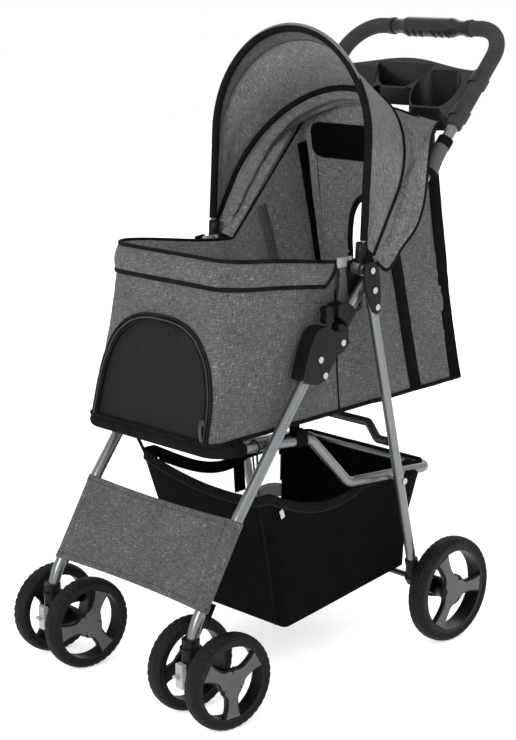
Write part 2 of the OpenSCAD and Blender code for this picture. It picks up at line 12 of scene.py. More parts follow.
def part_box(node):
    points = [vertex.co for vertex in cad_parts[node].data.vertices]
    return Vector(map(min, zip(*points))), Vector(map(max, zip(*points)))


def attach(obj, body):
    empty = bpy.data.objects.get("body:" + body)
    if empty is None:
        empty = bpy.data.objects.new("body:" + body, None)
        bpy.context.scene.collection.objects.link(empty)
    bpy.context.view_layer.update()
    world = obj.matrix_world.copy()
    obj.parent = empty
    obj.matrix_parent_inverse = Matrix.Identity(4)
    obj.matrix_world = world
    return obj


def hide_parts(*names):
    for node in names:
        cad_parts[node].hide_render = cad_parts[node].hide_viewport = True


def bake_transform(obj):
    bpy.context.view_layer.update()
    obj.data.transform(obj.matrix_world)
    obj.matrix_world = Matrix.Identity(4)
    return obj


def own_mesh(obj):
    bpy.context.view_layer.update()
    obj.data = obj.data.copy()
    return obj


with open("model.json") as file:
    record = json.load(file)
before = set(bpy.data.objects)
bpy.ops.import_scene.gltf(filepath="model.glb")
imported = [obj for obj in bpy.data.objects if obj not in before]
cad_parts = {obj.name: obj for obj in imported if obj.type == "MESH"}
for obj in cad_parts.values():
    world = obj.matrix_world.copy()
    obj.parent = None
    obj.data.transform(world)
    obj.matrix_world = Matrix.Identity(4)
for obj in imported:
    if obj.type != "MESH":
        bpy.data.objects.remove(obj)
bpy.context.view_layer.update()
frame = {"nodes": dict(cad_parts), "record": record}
MM = 0.001


# ---- Places that come from the frame ----

JOINTS = {j["name"]: j for j in frame["record"]["behaviour"]["joints"]}


def pivot(joint):
    """The [y, z] place of a joint's axis in the side view."""
    return tuple(JOINTS[joint]["pos_m"][1:])


def span(node, axis):
    """Lowest and highest coordinate of a CAD node along one axis."""
    low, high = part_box(node)
    return low[axis], high[axis]


ARM_R = 9 * MM
ARM_X = (span("handle_tube", 0)[1] - span("handle_tube", 0)[0]) / 2 - ARM_R
FOLD = pivot("fold")
CANOPY = pivot("canopy")
HANDLE_SLOPE = math.radians(47.8)
LEG_SLOPE = math.radians(59.1)
CABIN_HALF = span("cabin_shell", 0)[1]
BASKET_HALF = span("basket_bag", 0)[1]


def on_handle(along, out=0.0):
    """A point of the side view, along a handle arm from the main pivot and out in front of it."""
    c, s = math.cos(HANDLE_SLOPE), math.sin(HANDLE_SLOPE)
    return FOLD[0] + along * c - out * s, FOLD[1] + along * s + out * c


def on_leg(z):
    """Depth of the centre line of a front leg's lower part at height z."""
    return -331 * MM + (z - 149 * MM) / math.tan(LEG_SLOPE)


# ---- Camera and light ----

CAMERA_PLACE = (1.9655, -1.9505, 1.0986)
CAMERA_AZIMUTH = math.radians(45.86)
CAMERA_PITCH = math.radians(13.12)
SENSOR, LENS = 36, 85.79
LIGHTS = (
    ("key", (0.9, -3.0, 1.7), 1.2, 50),
    ("side", (3.0, -0.4, 2.2), 1.2, 11),
    ("rim", (-1.6, 2.2, 2.6), 1.4, 16),
)
LIGHT_TARGET = (0, 0, 0.55)
FLOOR_HALF = 6


def add_camera():
    data = bpy.data.cameras.new("camera")
    cam = bpy.data.objects.new("camera", data)
    bpy.context.collection.objects.link(cam)
    flat = math.cos(CAMERA_PITCH)
    look = Vector((
        -math.sin(CAMERA_AZIMUTH) * flat, math.cos(CAMERA_AZIMUTH) * flat, -math.sin(CAMERA_PITCH)
    ))
    cam.location = CAMERA_PLACE
    cam.rotation_euler = look.to_track_quat("-Z", "Y").to_euler()
    data.sensor_width = SENSOR
    data.lens = LENS
    data.clip_end = 50
    bpy.context.scene.camera = cam


def add_light(name, place, target, size, power):
    data = bpy.data.lights.new(name, "AREA")
    data.shape = "DISK"
    data.size = size
    data.energy = power
    lamp = bpy.data.objects.new(name, data)
    bpy.context.collection.objects.link(lamp)
    lamp.location = place
    lamp.rotation_euler = (Vector(target) - Vector(place)).to_track_quat("-Z", "Y").to_euler()


def add_studio():
    world = bpy.data.worlds.new("studio")
    world.use_nodes = True
    world.node_tree.nodes["Background"].inputs[0].default_value = (1, 1, 1, 1)
    world.node_tree.nodes["Background"].inputs[1].default_value = 1.0
    bpy.context.scene.world = world
    for name, where, size, power in LIGHTS:
        add_light(name, where, LIGHT_TARGET, size, power)
    bpy.context.scene.view_settings.view_transform = "Standard"

    data = bpy.data.meshes.new("floor")
    half = FLOOR_HALF
    data.from_pydata(
        [(-half, -half, 0), (half, -half, 0), (half, half, 0), (-half, half, 0)], [], [(0, 1, 2, 3)]
    )
    floor = bpy.data.objects.new("floor", data)
    bpy.context.collection.objects.link(floor)
    white, _, shader = new_material("studio_floor", (0.9, 0.9, 0.9), 0.95, specular=0.0)
    shader.inputs["Emission Color"].default_value = (1, 1, 1, 1)
    shader.inputs["Emission Strength"].default_value = 0.55
    floor.data.materials.append(white)


# ---- Materials ----

def new_material(name, color, rough, metal=0.0, specular=0.5):
    """A material with one Principled shader; its node tree, the shader and its output."""
    mat = bpy.data.materials.new(name)
    mat.use_nodes = True
    tree = mat.node_tree
    shader = tree.nodes["Principled BSDF"]
    shader.inputs["Base Color"].default_value = (*color, 1)
    shader.inputs["Roughness"].default_value = rough
    shader.inputs["Metallic"].default_value = metal
    shader.inputs["Specular IOR Level"].default_value = specular
    return mat, tree, shader


def plain(name, color, rough):
    return new_material(name, color, rough)[0]


def coordinates(tree, cloth, scale):
    """Texture coordinates in metres, scaled: along the cloth, or in the object."""
    if cloth:
        source = tree.nodes.new("ShaderNodeAttribute")
        source.attribute_name = "cloth"
        out = source.outputs["Vector"]
    else:
        source = tree.nodes.new("ShaderNodeTexCoord")
        out = source.outputs["Object"]
    mapping = tree.nodes.new("ShaderNodeMapping")
    mapping.inputs["Scale"].default_value = scale
    tree.links.new(out, mapping.inputs["Vector"])
    return mapping.outputs["Vector"]


def grain(tree, cloth, scale, detail=2.0, rough=0.5):
    tex = tree.nodes.new("ShaderNodeTexNoise")
    tex.inputs["Scale"].default_value = 1.0
    tex.inputs["Detail"].default_value = detail
    tex.inputs["Roughness"].default_value = rough
    tree.links.new(coordinates(tree, cloth, scale), tex.inputs["Vector"])
    return tex.outputs["Fac"]


def blend_values(tree, a, b, share):
    mix = tree.nodes.new("ShaderNodeMix")
    mix.data_type = "FLOAT"
    mix.inputs[0].default_value = share
    tree.links.new(a, mix.inputs[2])
    tree.links.new(b, mix.inputs[3])
    return mix.outputs[0]


def combine(tree, operation, a, b):
    node = tree.nodes.new("ShaderNodeMath")
    node.operation = operation
    for socket, value in zip(node.inputs, (a, b)):
        if isinstance(value, (int, float)):
            socket.default_value = value
        else:
            tree.links.new(value, socket)
    return node.outputs[0]


def ramp(tree, value, stops):
    """Maps a value to colours; stops are (position, colour) pairs."""
    node = tree.nodes.new("ShaderNodeValToRGB")
    first, last = node.color_ramp.elements
    first.position, first.color = stops[0][0], (*stops[0][1], 1)
    last.position, last.color = stops[-1][0], (*stops[-1][1], 1)
    for position, color in stops[1:-1]:
        node.color_ramp.elements.new(position).color = (*color, 1)
    tree.links.new(value, node.inputs[0])
    return node.outputs[0]


def map_range(tree, value, low, high, to_low, to_high):
    node = tree.nodes.new("ShaderNodeMapRange")
    for socket, number in zip(node.inputs[1:5], (low, high, to_low, to_high)):
        socket.default_value = number
    tree.links.new(value, node.inputs[0])
    return node.outputs[0]


def bump(tree, shader, height, distance, strength=1.0):
    node = tree.nodes.new("ShaderNodeBump")
    node.inputs["Distance"].default_value = distance
    node.inputs["Strength"].default_value = strength
    tree.links.new(height, node.inputs["Height"])
    tree.links.new(node.outputs[0], shader.inputs["Normal"])


def threads(tree, cloth, pitch):
    """A plain weave's height: rows of threads that pass over and under each other."""
    rows = []
    for across in (0, 1):
        split = tree.nodes.new("ShaderNodeSeparateXYZ")
        turn = 2 * math.pi / pitch
        tree.links.new(coordinates(tree, cloth, (turn, turn, turn)), split.inputs[0])
        rows.append(combine(tree, "SINE", split.outputs[across], 0))
    product = combine(tree, "MULTIPLY", rows[0], rows[1])
    return map_range(tree, product, -1, 1, 0, 1)


def grey(level):
    return (level, level, level * 1.01)


def heather(name, dark, middle, light, cloth=True):
    """Heather-grey woven polyester: pale and dark slubs along both thread directions."""
    mat, tree, shader = new_material(name, grey(middle), 0.9, specular=0.15)
    slub, thin = 80, 520
    warp = grain(tree, cloth, (thin, slub, thin))
    weft = grain(tree, cloth, (slub, thin, slub))
    speck = grain(tree, cloth, (380, 380, 380), 3.0, 0.75)
    both = blend_values(tree, warp, weft, 0.5)
    mixed = blend_values(tree, both, speck, 0.4)
    cloudy = grain(tree, cloth, (14, 14, 14), 2.0)
    shade = combine(tree, "ADD", mixed, map_range(tree, cloudy, 0.3, 0.7, -0.02, 0.02))
    color = ramp(tree, shade, [
        (0.38, grey(dark)), (0.47, grey(middle * 0.9)), (0.54, grey(middle * 1.12)), (0.64, grey(light))
    ])
    tree.links.new(color, shader.inputs["Base Color"])
    shader.inputs["Sheen Weight"].default_value = 0.08
    shader.inputs["Sheen Roughness"].default_value = 0.5
    weave = threads(tree, cloth, 0.0011)
    height = blend_values(tree, weave, mixed, 0.45)
    bump(tree, shader, height, 0.0005, 0.8)
    return mat


def black_cloth(name, level, pitch, cloth=True):
    """Black woven polyester or webbing."""
    mat, tree, shader = new_material(name, grey(level), 0.82, specular=0.035)
    fine = grain(tree, cloth, (700, 700, 700), 2.0, 0.6)
    cloudy = grain(tree, cloth, (25, 25, 25), 2.0)
    tone = blend_values(tree, fine, cloudy, 0.5)
    color = ramp(tree, tone, [(0.35, grey(level * 0.55)), (0.65, grey(level * 1.6))])
    tree.links.new(color, shader.inputs["Base Color"])
    shader.inputs["Sheen Weight"].default_value = 0.0
    shader.inputs["Sheen Roughness"].default_value = 0.4
    height = threads(tree, cloth, pitch)
    bump(tree, shader, blend_values(tree, height, fine, 0.3), 0.0006, 0.7)
    return mat


def mesh_cloth(name, level, alpha):
    """Thin net that lets some light through."""
    mat, tree, shader = new_material(name, grey(level), 0.7, specular=0.1)
    height = threads(tree, True, 0.0022)
    fine = grain(tree, True, (300, 300, 300), 2.0)
    tone = blend_values(tree, height, fine, 0.6)
    color = ramp(tree, tone, [(0.3, grey(level * 0.7)), (0.7, grey(level * 1.35))])
    tree.links.new(color, shader.inputs["Base Color"])
    opacity = map_range(tree, height, 0.2, 0.8, alpha - 0.1, alpha + 0.1)
    tree.links.new(opacity, shader.inputs["Alpha"])
    bump(tree, shader, height, 0.0005)
    return mat


def ribbed_mesh(name):
    """White net with upright ribs, used in the basket's sides."""
    mat, tree, shader = new_material(name, grey(0.8), 0.6, specular=0.3)
    split = tree.nodes.new("ShaderNodeSeparateXYZ")
    turn = 2 * math.pi / 0.0055
    tree.links.new(coordinates(tree, True, (turn, turn, turn)), split.inputs[0])
    ribs = map_range(tree, combine(tree, "SINE", split.outputs[0], 0), -1, 1, 0, 1)
    fine = grain(tree, True, (500, 300, 500), 2.0)
    tone = blend_values(tree, ribs, fine, 0.3)
    tree.links.new(ramp(tree, tone, [(0.1, grey(0.68)), (0.8, grey(0.9))]), shader.inputs["Base Color"])
    tree.links.new(map_range(tree, tone, 0, 1, 0.06, 0.30), shader.inputs["Alpha"])
    bump(tree, shader, ribs, 0.0006)
    return mat


def moulded(name, level, rough, pit=900, depth=0.00012, specular=0.5, wear=0.12):
    """Injection-moulded plastic with fine texture and slightly polished spots."""
    mat, tree, shader = new_material(name, grey(level), rough, specular=specular)
    fine = grain(tree, False, (pit, pit, pit), 2.0, 0.6)
    broad = grain(tree, False, (18, 18, 18), 3.0)
    color = ramp(tree, broad, [(0.3, grey(level * 0.85)), (0.75, grey(level * 1.25))])
    tree.links.new(color, shader.inputs["Base Color"])
    spots = blend_values(tree, fine, broad, 0.6)
    tree.links.new(map_range(tree, spots, 0.3, 0.7, rough - wear, rough + wear), shader.inputs["Roughness"])
    bump(tree, shader, fine, depth)
    return mat


def foam(name, level):
    mat, tree, shader = new_material(name, grey(level), 0.85, specular=0.3)
    cells = tree.nodes.new("ShaderNodeTexVoronoi")
    cells.inputs["Scale"].default_value = 1.0
    tree.links.new(coordinates(tree, False, (1300, 1300, 1300)), cells.inputs["Vector"])
    broad = grain(tree, False, (40, 40, 40), 3.0)
    tone = blend_values(tree, cells.outputs["Distance"], broad, 0.5)
    color = ramp(tree, tone, [(0.2, grey(level * 0.7)), (0.7, grey(level * 1.4))])
    tree.links.new(color, shader.inputs["Base Color"])
    bump(tree, shader, cells.outputs["Distance"], 0.0003, 0.6)
    return mat


def metal(name, color, rough, scratch):
    """Coated or plated steel with faint streaks and scuffs."""
    mat, tree, shader = new_material(name, color, rough, metal=0.9, specular=0.5)
    streak = grain(tree, False, scratch, 3.0, 0.6)
    broad = grain(tree, False, (12, 12, 12), 2.0)
    tone = blend_values(tree, streak, broad, 0.5)
    tree.links.new(map_range(tree, tone, 0.3, 0.7, rough - 0.07, rough + 0.1), shader.inputs["Roughness"])
    dim = tuple(0.86 * c for c in color)
    tree.links.new(ramp(tree, tone, [(0.3, dim), (0.7, color)]), shader.inputs["Base Color"])
    bump(tree, shader, streak, 0.00005, 0.5)
    return mat


def tyre_rubber(name):
    mat, tree, shader = new_material(name, grey(0.006), 0.6, specular=0.12)
    fine = grain(tree, False, (900, 900, 900), 2.0)
    dust = grain(tree, False, (45, 45, 45), 4.0, 0.65)
    color = ramp(tree, dust, [(0.35, grey(0.004)), (0.6, grey(0.007)), (0.85, grey(0.018))])
    tree.links.new(color, shader.inputs["Base Color"])
    tree.links.new(map_range(tree, dust, 0.3, 0.8, 0.48, 0.8), shader.inputs["Roughness"])
    bump(tree, shader, fine, 0.00015, 0.6)
    return mat


MATERIALS = {
    "grey": heather("heather_grey", 0.018, 0.076, 0.24),
    # The lining is the same grey cloth as the outside, made about twice as bright: painted light that stands
    # in for fill light inside the cabin and under the canopy
    "lining_painted_fill": heather("heather_lining_painted_fill", 0.05, 0.160, 0.42),
    "canopy": heather("heather_canopy", 0.03, 0.115, 0.34),
    "collar": heather("heather_collar", 0.018, 0.076, 0.25),
    "facing": heather("heather_facing", 0.025, 0.070, 0.17),
    "footrest": heather("heather_footrest", 0.018, 0.070, 0.22),
    "black": black_cloth("black_weave", 0.0028, 0.0011),
    "piping": black_cloth("black_binding", 0.0065, 0.0014),
    "webbing": black_cloth("black_webbing", 0.0035, 0.0022),
    "board": heather("board_lining", 0.02, 0.045, 0.09, cloth=False),
    "mesh": mesh_cloth("window_net", 0.012, 0.86),
    "ribbed": ribbed_mesh("basket_net"),
    "zip": moulded("zip_plastic", 0.012, 0.4),
    "zip_teeth": moulded("zip_teeth", 0.03, 0.35),
    "grip": moulded("grip_plastic", 0.015, 0.32, pit=1200, depth=0.0001, specular=0.22),
    "plastic": moulded("black_plastic", 0.005, 0.34, specular=0.12),
    "tray": moulded("tray_plastic", 0.010, 0.30, pit=1400, depth=0.00008, specular=0.26),
    "foam": foam("grip_foam", 0.024),
    "rim": moulded("rim_plastic", 0.004, 0.36, specular=0.14),
    "insert": moulded("insert_plastic", 0.062, 0.48, depth=0.00006, specular=0.3),
    "lock": moulded("lock_plastic", 0.30, 0.42),
    "clear": moulded("clip_plastic", 0.24, 0.3),
    "tyre": tyre_rubber("tyre_rubber"),
    "tube": metal("grey_tube", (0.19, 0.2, 0.205), 0.30, (60, 60, 900)),
    "chrome": metal("chrome", (0.42, 0.42, 0.43), 0.22, (500, 500, 500)),
    "dark_steel": metal("dark_steel", (0.08, 0.08, 0.085), 0.42, (900, 60, 60)),
    "cord": black_cloth("cord_braid", 0.010, 0.0012),
    "thread": plain("thread", grey(0.022), 0.8),
    "pale_thread": plain("pale_thread", grey(0.20), 0.8),
    "tag": heather("tag_tape", 0.35, 0.55, 0.7),
}


# ---- Mesh helpers ----

def place(name, data, body, slot, material, smooth=True):
    """Links a mesh as a piece that rides on a body."""
    piece = bpy.data.objects.new(name, data)
    bpy.context.collection.objects.link(piece)
    for mat in material if isinstance(material, (list, tuple)) else [material]:
        piece.data.materials.append(MATERIALS[mat])
    for face in piece.data.polygons:
        face.use_smooth = smooth
    if body:
        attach(piece, body)
    return piece


def set_cloth(data, coords):
    """Stores where each vertex lies on the flat cloth, in metres."""
    layer = data.attributes.new("cloth", "FLOAT_VECTOR", "POINT")
    layer.data.foreach_set("vector", [c for p in coords for c in (p[0], p[1], 0.0)])


def mesh_from(name, verts, faces, coords=None):
    data = bpy.data.meshes.new(name)
    data.from_pydata([tuple(v) for v in verts], [], faces)
    if coords:
        set_cloth(data, coords)
    data.validate()
    return data


def grid_faces(rows, columns, wrap=False):
    faces = []
    last = columns if wrap else columns - 1
    for i in range(rows - 1):
        for j in range(last):
            k = (j + 1) % columns
            faces.append((i * columns + j, i * columns + k, (i + 1) * columns + k, (i + 1) * columns + j))
    return faces


def flat_lengths(rows):
    """Cloth coordinates of a grid of points: mean distance along its rows and its columns."""
    width = [0.0]
    for j in range(1, len(rows[0])):
        width.append(width[-1] + sum((r[j] - r[j - 1]).length for r in rows) / len(rows))
    coords, high = [], [0.0] * len(rows[0])
    for i, row in enumerate(rows):
        if i:
            high = [h + (row[j] - rows[i - 1][j]).length for j, h in enumerate(high)]
        coords.extend((width[j], high[j]) for j in range(len(row)))
    return coords


def cut_size(rows):
    """The flat width, height and area of a grid of points, measured along its cloth."""
    def length(line):
        return sum((b - a).length for a, b in zip(line, line[1:]))
    width = sum(length(row) for row in rows) / len(rows)
    columns = list(zip(*rows))
    height = sum(length(column) for column in columns) / len(columns)
    area = 0.0
    for low, high in zip(rows, rows[1:]):
        for a, b, c, d in zip(low, low[1:], high[1:], high):
            area += ((c - a).cross(d - b)).length / 2
    return (round(width, 4), round(max(height, area / width) + 0.0002, 4)), round(area, 5)


def sheet(rows):
    flat, area = cut_size(rows)


def thicken(piece, thickness, offset=0.0, inner=None):
    solid = piece.modifiers.new("thickness", "SOLIDIFY")
    solid.thickness = thickness
    solid.offset = offset
    if inner is not None:
        solid.material_offset = inner
        solid.material_offset_rim = 0
    return piece


def apply_modifiers(piece):
    """Turns the piece's modifiers into its own mesh."""
    bpy.context.view_layer.update()
    evaluated = piece.evaluated_get(bpy.context.evaluated_depsgraph_get())
    data = bpy.data.meshes.new_from_object(evaluated)
    data.name = piece.data.name
    piece.modifiers.clear()
    piece.data = data
    return piece


def cloth_piece(name, grid, body, slot, material, thickness, offset=0.0):
    """A piece of cloth with some thickness, over a grid of points."""
    data = mesh_from(
        name, [p for row in grid for p in row], grid_faces(len(grid), len(grid[0])), flat_lengths(grid)
    )
    return apply_modifiers(thicken(place(name, data, body, slot, material), thickness, offset))


def smooth_path(points, step, closed=False):
    """A Catmull-Rom curve through the points, with about one vertex per step."""
    pts = [Vector(p) for p in points]
    count = len(pts)
    out = []
    last = count if closed else count - 1
    for i in range(last):
        b, c = pts[i], pts[(i + 1) % count]
        a = pts[i - 1] if closed or i else b + (b - c)
        d = pts[(i + 2) % count] if closed or i + 2 < count else c + (c - b)
        steps = max(1, round((c - b).length / step))
        for k in range(steps):
            t = k / steps
            out.append(0.5 * (
                2 * b + (c - a) * t + (2 * a - 5 * b + 4 * c - d) * t * t
                + (3 * b - a - 3 * c + d) * t ** 3
            ))
    if not closed:
        out.append(pts[-1])
    return out


def path_frames(path, normals, closed):
    """Tangent, side and normal at each point of a path."""
    count, frames = len(path), []
    for i, p in enumerate(path):
        before = path[i - 1] if closed or i else p
        after = path[(i + 1) % count] if closed or i + 1 < count else p
        tangent = (after - before).normalized()
        up = Vector(normals[i]) if normals else (frames[-1][2] if frames else None)
        if up is None:
            up = Vector((0, 0, 1)) if abs(tangent.z) < 0.9 else Vector((0, 1, 0))
        up = (up - tangent * up.dot(tangent)).normalized()
        frames.append((tangent, tangent.cross(up), up))
    return frames


def sweep(path, profile, normals=None, closed=False, cap=True):
    """Vertices, faces and cloth coordinates of a profile of (side, up) pairs swept along a path."""
    frames = path_frames(path, normals, closed)
    around = [0.0]
    for a, b in zip(profile, profile[1:]):
        around.append(around[-1] + math.dist(a, b))
    verts, coords, along = [], [], 0.0
    for i, (p, (_, side, up)) in enumerate(zip(path, frames)):
        if i:
            along += (p - path[i - 1]).length
        for (a, b), u in zip(profile, around):
            verts.append(p + side * a + up * b)
            coords.append((u, along))
    n = len(profile)
    faces = [f[::-1] for f in grid_faces(len(path), n, wrap=True)]
    if closed:
        start = (len(path) - 1) * n
        faces += [(start + j, j, (j + 1) % n, start + (j + 1) % n)[::-1] for j in range(n)]
    elif cap:
        faces.append(tuple(range(n)))
        faces.append(tuple(range((len(path) - 1) * n, len(path) * n))[::-1])
    return verts, faces, coords


def round_profile(radius, sides=10, flat=1.0):
    return [
        (radius * math.cos(2 * math.pi * k / sides), radius * flat * math.sin(2 * math.pi * k / sides))
        for k in range(sides)
    ]


def strap_profile(width, thick):
    """A flat strap with rounded edges."""
    w, t = width / 2, thick / 2
    inset = min(t, w) * 0.6
    return [
        (-w + inset, t), (w - inset, t), (w, t * 0.4), (w, -t * 0.4),
        (w - inset, -t), (-w + inset, -t), (-w, -t * 0.4), (-w, t * 0.4)
    ]


def swept(name, path, profile, material, body, slot, normals=None, closed=False):
    verts, faces, coords = sweep(path, profile, normals, closed)
    return place(name, mesh_from(name, verts, faces, coords), body, slot, material)


def tube(name, path, radius, material, body, slot, closed=False, sides=10):
    return swept(name, path, round_profile(radius, sides), material, body, slot, closed=closed)


def joined(name, parts, material, body, slot, smooth=True):
    """One piece out of several (verts, faces, coords) meshes."""
    verts, faces, coords = [], [], []
    for v, f, c in parts:
        base = len(verts)
        verts.extend(v)
        coords.extend(c)
        faces.extend(tuple(k + base for k in face) for face in f)
    return place(name, mesh_from(name, verts, faces, coords), body, slot, material, smooth)


def stitches(name, path, body, slot, material="thread", pitch=0.0042, length=0.0026, radius=0.0004):
    """A row of short threads along a path."""
    parts, travelled, due = [], 0.0, 0.0
    for a, b in zip(path, path[1:]):
        step = (b - a).length
        direction = (b - a).normalized() if step else Vector((0, 0, 1))
        while due <= travelled + step:
            start = a + direction * (due - travelled)
            parts.append(sweep([start, start + direction * length], round_profile(radius, 5)))
            due += pitch
        travelled += step
    return joined(name, parts, material, body, slot)


def lerp(a, b, t):
    return a + (b - a) * t


def clamp(t):
    return max(0.0, min(1.0, t))


def ease(t):
    t = clamp(t)
    return t * t * (3 - 2 * t)


def ripple(p, size, seed=0.0):
    """Smooth noise between about -1 and 1, at a point, for features of the given size."""
    return noise.noise(Vector(p) / size + Vector((seed, seed * 1.7, -seed)))


# ---- Cabin ----
# The cabin's cloth is described by t, round its walls, and h, from its bottom edge up to its top edge.
# t runs from the middle of the front, round the left side and the rear, and back: 0 to 1.

BOTTOM_FRONT, BOTTOM_REAR = -276 * MM, 286 * MM
BOTTOM_Z = (405 * MM, 420 * MM)
RIM_FRONT = (-228 * MM, 670 * MM)
RIM_HINGE = (39 * MM, 646 * MM)
TOP_REAR = (209 * MM, 836 * MM)
REAR_RISE = 30 * MM
SHELL_THICK = 2.4 * MM
WALL_HALF = CABIN_HALF - 1.5 * MM


def rounded_outline(half, front, rear, front_corner, rear_corner, steps=14):
    """Points round a rectangle with rounded corners, from the middle of its front towards +X."""
    def corner(cx, cy, radius, start):
        return [
            (cx + radius * math.cos(start + math.pi / 2 * k / steps),
             cy + radius * math.sin(start + math.pi / 2 * k / steps))
            for k in range(steps + 1)
        ]
    right = (
        corner(half - front_corner, front + front_corner, front_corner, -math.pi / 2)
        + corner(half - rear_corner, rear - rear_corner, rear_corner, 0)
    )
    return right


def even_points(points, count):
    """Points at even distances along a polyline."""
    lengths = [0.0]
    for a, b in zip(points, points[1:]):
        lengths.append(lengths[-1] + math.dist(a, b))
    out, i = [], 0
    for k in range(count):
        goal = lengths[-1] * k / (count - 1)
        while i < len(lengths) - 2 and lengths[i + 1] < goal:
            i += 1
        gap = lengths[i + 1] - lengths[i]
        t = (goal - lengths[i]) / gap if gap else 0
        out.append(tuple(p + (q - p) * t for p, q in zip(points[i], points[i + 1])))
    return out


AROUND = 260           # steps along half the outline, from the front's middle to the rear's
UP = 88                # steps from the bottom edge to the top edge


def top_height(y):
    """Height of the cabin's top edge at depth y."""
    if y < RIM_HINGE[0]:
        return lerp(RIM_FRONT[1], RIM_HINGE[1], ease((y - RIM_FRONT[0]) / (RIM_HINGE[0] - RIM_FRONT[0])))
    return lerp(RIM_HINGE[1], TOP_REAR[1], clamp((y - RIM_HINGE[0]) / (TOP_REAR[0] - RIM_HINGE[0])))


def bottom_height(y):
    return lerp(BOTTOM_Z[0], BOTTOM_Z[1], clamp((y - BOTTOM_FRONT) / (BOTTOM_REAR - BOTTOM_FRONT)))


def half_outline(half, front, rear, front_corner, rear_corner):
    """The outline's +X half from the front's middle to the rear's, cut where straight cloth meets curves."""
    bend = rounded_outline(half, front, rear, front_corner, rear_corner)
    return even_points([(0.0, front)] + bend + [(0.0, rear)], AROUND + 1)


LOW_LINE = half_outline(WALL_HALF, BOTTOM_FRONT, BOTTOM_REAR, 20 * MM, 5 * MM)
HIGH_LINE = half_outline(WALL_HALF, RIM_FRONT[0], TOP_REAR[0], 46 * MM, 5 * MM)


def cabin_point(j, h, out=0.0):
    """A point of the cabin wall: j counts round the outline from -AROUND to AROUND, h goes from 0 to 1."""
    side = -1 if j < 0 else 1
    k = abs(j)
    low, high = LOW_LINE[k], HIGH_LINE[k]
    z0, z1 = bottom_height(low[1]), top_height(high[1])
    if high[1] > TOP_REAR[0] - 4 * MM:
        z1 += REAR_RISE * (1 - (high[0] / WALL_HALF) ** 2)
    x = lerp(low[0], high[0], h)
    y = lerp(low[1], high[1], h)
    z = lerp(z0, z1, h)
    before, after = LOW_LINE[max(k - 1, 0)], LOW_LINE[min(k + 1, AROUND)]
    tangent = Vector((after[0] - before[0], after[1] - before[1], 0)).normalized()
    normal = Vector((tangent.y, -tangent.x, 0))
    if k == 0:
        normal = Vector((0, -1, 0))
    if k == AROUND:
        normal = Vector((0, 1, 0))
    # Cloth hollows a little between its stiff edges, and creases run down from the rim
    middle = math.sin(math.pi * h)
    side_wall = clamp((x - 0.10) / 0.03)
    hollow = -0.0035 * middle * side_wall
    crease = 0.0016 * ripple((y * side, z * 0.45, 0.3 * x), 0.045, 3.1) * (0.4 + 0.6 * middle)
    crease += 0.0010 * ripple((y * side, z, x), 0.018, 7.7) * middle
    p = Vector((x, y, z)) + normal * (hollow + crease + out)
    p.x *= side
    return p


def cabin_j(y, h, side=1):
    """The outline step on the side wall whose point at height share h has depth y."""
    best = min(
        (k for k in range(AROUND + 1) if LOW_LINE[k][0] > WALL_HALF * 0.6),
        key=lambda k: abs(lerp(LOW_LINE[k][1], HIGH_LINE[k][1], h) - y),
    )
    return best * side


# The two arched openings, given by half width, the z of their level bottom and of their crown
FRONT_ARCH = (126 * MM, 409 * MM, 572 * MM)
REAR_ARCH = (80 * MM, 470 * MM, 712 * MM)


def arch_line(half, low, high, power, count=64):
    """(x, z) points of an arch: upright sides that bend over into a round crown."""
    points = []
    for k in range(count + 1):
        a = math.pi * k / count
        c, s = math.cos(a), math.sin(a)
        x = half * math.copysign(abs(c) ** (2 / power), c)
        points.append((x, low + (high - low) * abs(s) ** (2 / power)))
    return points


def inside_arch(x, z, arch, power):
    half, low, high = arch
    if z < low:
        return False
    return abs(x / half) ** power + ((z - low) / (high - low)) ** power < 1


FRONT_POWER, REAR_POWER = 2.7, 3.2


def wall_opening(x, y, z):
    """Whether the cloth is cut away at this place."""
    if y < -0.20:
        return inside_arch(x, z, FRONT_ARCH, FRONT_POWER)
    if y > 0.19:
        return inside_arch(x, z, REAR_ARCH, REAR_POWER)
    return False


def snap_to_arch(p):
    """Moves a point at the edge of an opening onto its outline."""
    arch, power = (FRONT_ARCH, FRONT_POWER) if p.y < 0 else (REAR_ARCH, REAR_POWER)
    half, low, high = arch
    u, v = abs(p.x) / half, (p.z - low) / (high - low)
    if v <= 0.02:
        return p
    reach = (u ** power + v ** power) ** (1 / power)
    return Vector((p.x / reach, p.y, low + (p.z - low) / reach))


def cabin_walls():
    columns = list(range(-AROUND, AROUND))
    rows = [[cabin_point(j, i / UP) for j in columns] for i in range(UP + 1)]
    coords = flat_lengths(rows)
    n = len(columns)
    verts = [p for row in rows for p in row]
    faces = []
    for i in range(UP):
        for j in range(n):
            k = (j + 1) % n
            quad = (i * n + j, i * n + k, (i + 1) * n + k, (i + 1) * n + j)
            centre = sum((verts[q] for q in quad), Vector()) / 4
            if not wall_opening(*centre):
                faces.append(quad)
    used = {}
    for face in faces:
        for a, b in zip(face, face[1:] + face[:1]):
            used[frozenset((a, b))] = used.get(frozenset((a, b)), 0) + 1
    edge = {v for pair, count in used.items() if count == 1 for v in pair}
    for v in edge:
        p = verts[v]
        if v % n and n * 2 < v < n * (UP - 1):
            verts[v] = snap_to_arch(p)
    keep = sorted({v for face in faces for v in face})
    index = {v: i for i, v in enumerate(keep)}
    data = mesh_from(
        "cabin_walls", [verts[v] for v in keep],
        [tuple(index[v] for v in face) for face in faces], [coords[v] for v in keep]
    )
    # The inner face takes the brightened lining colour, which carries painted light for the cabin's inside
    piece = place("cabin_walls", data, None, "grey_fabric", ["grey", "lining_painted_fill"])
    thicken(piece, SHELL_THICK, offset=-1, inner=1)
    apply_modifiers(piece)
    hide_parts("cabin_shell")
    return piece


def cabin_edge(h, out=0.0, first=-AROUND, last=AROUND):
    return [cabin_point(j, h, out) for j in range(first, last + 1)]


def outward(path):
    """Normals that point away from the cabin's upright axis."""
    return [Vector((p.x, p.y * 0.5, 0)).normalized() for p in path]


SOFT_SEAT = []


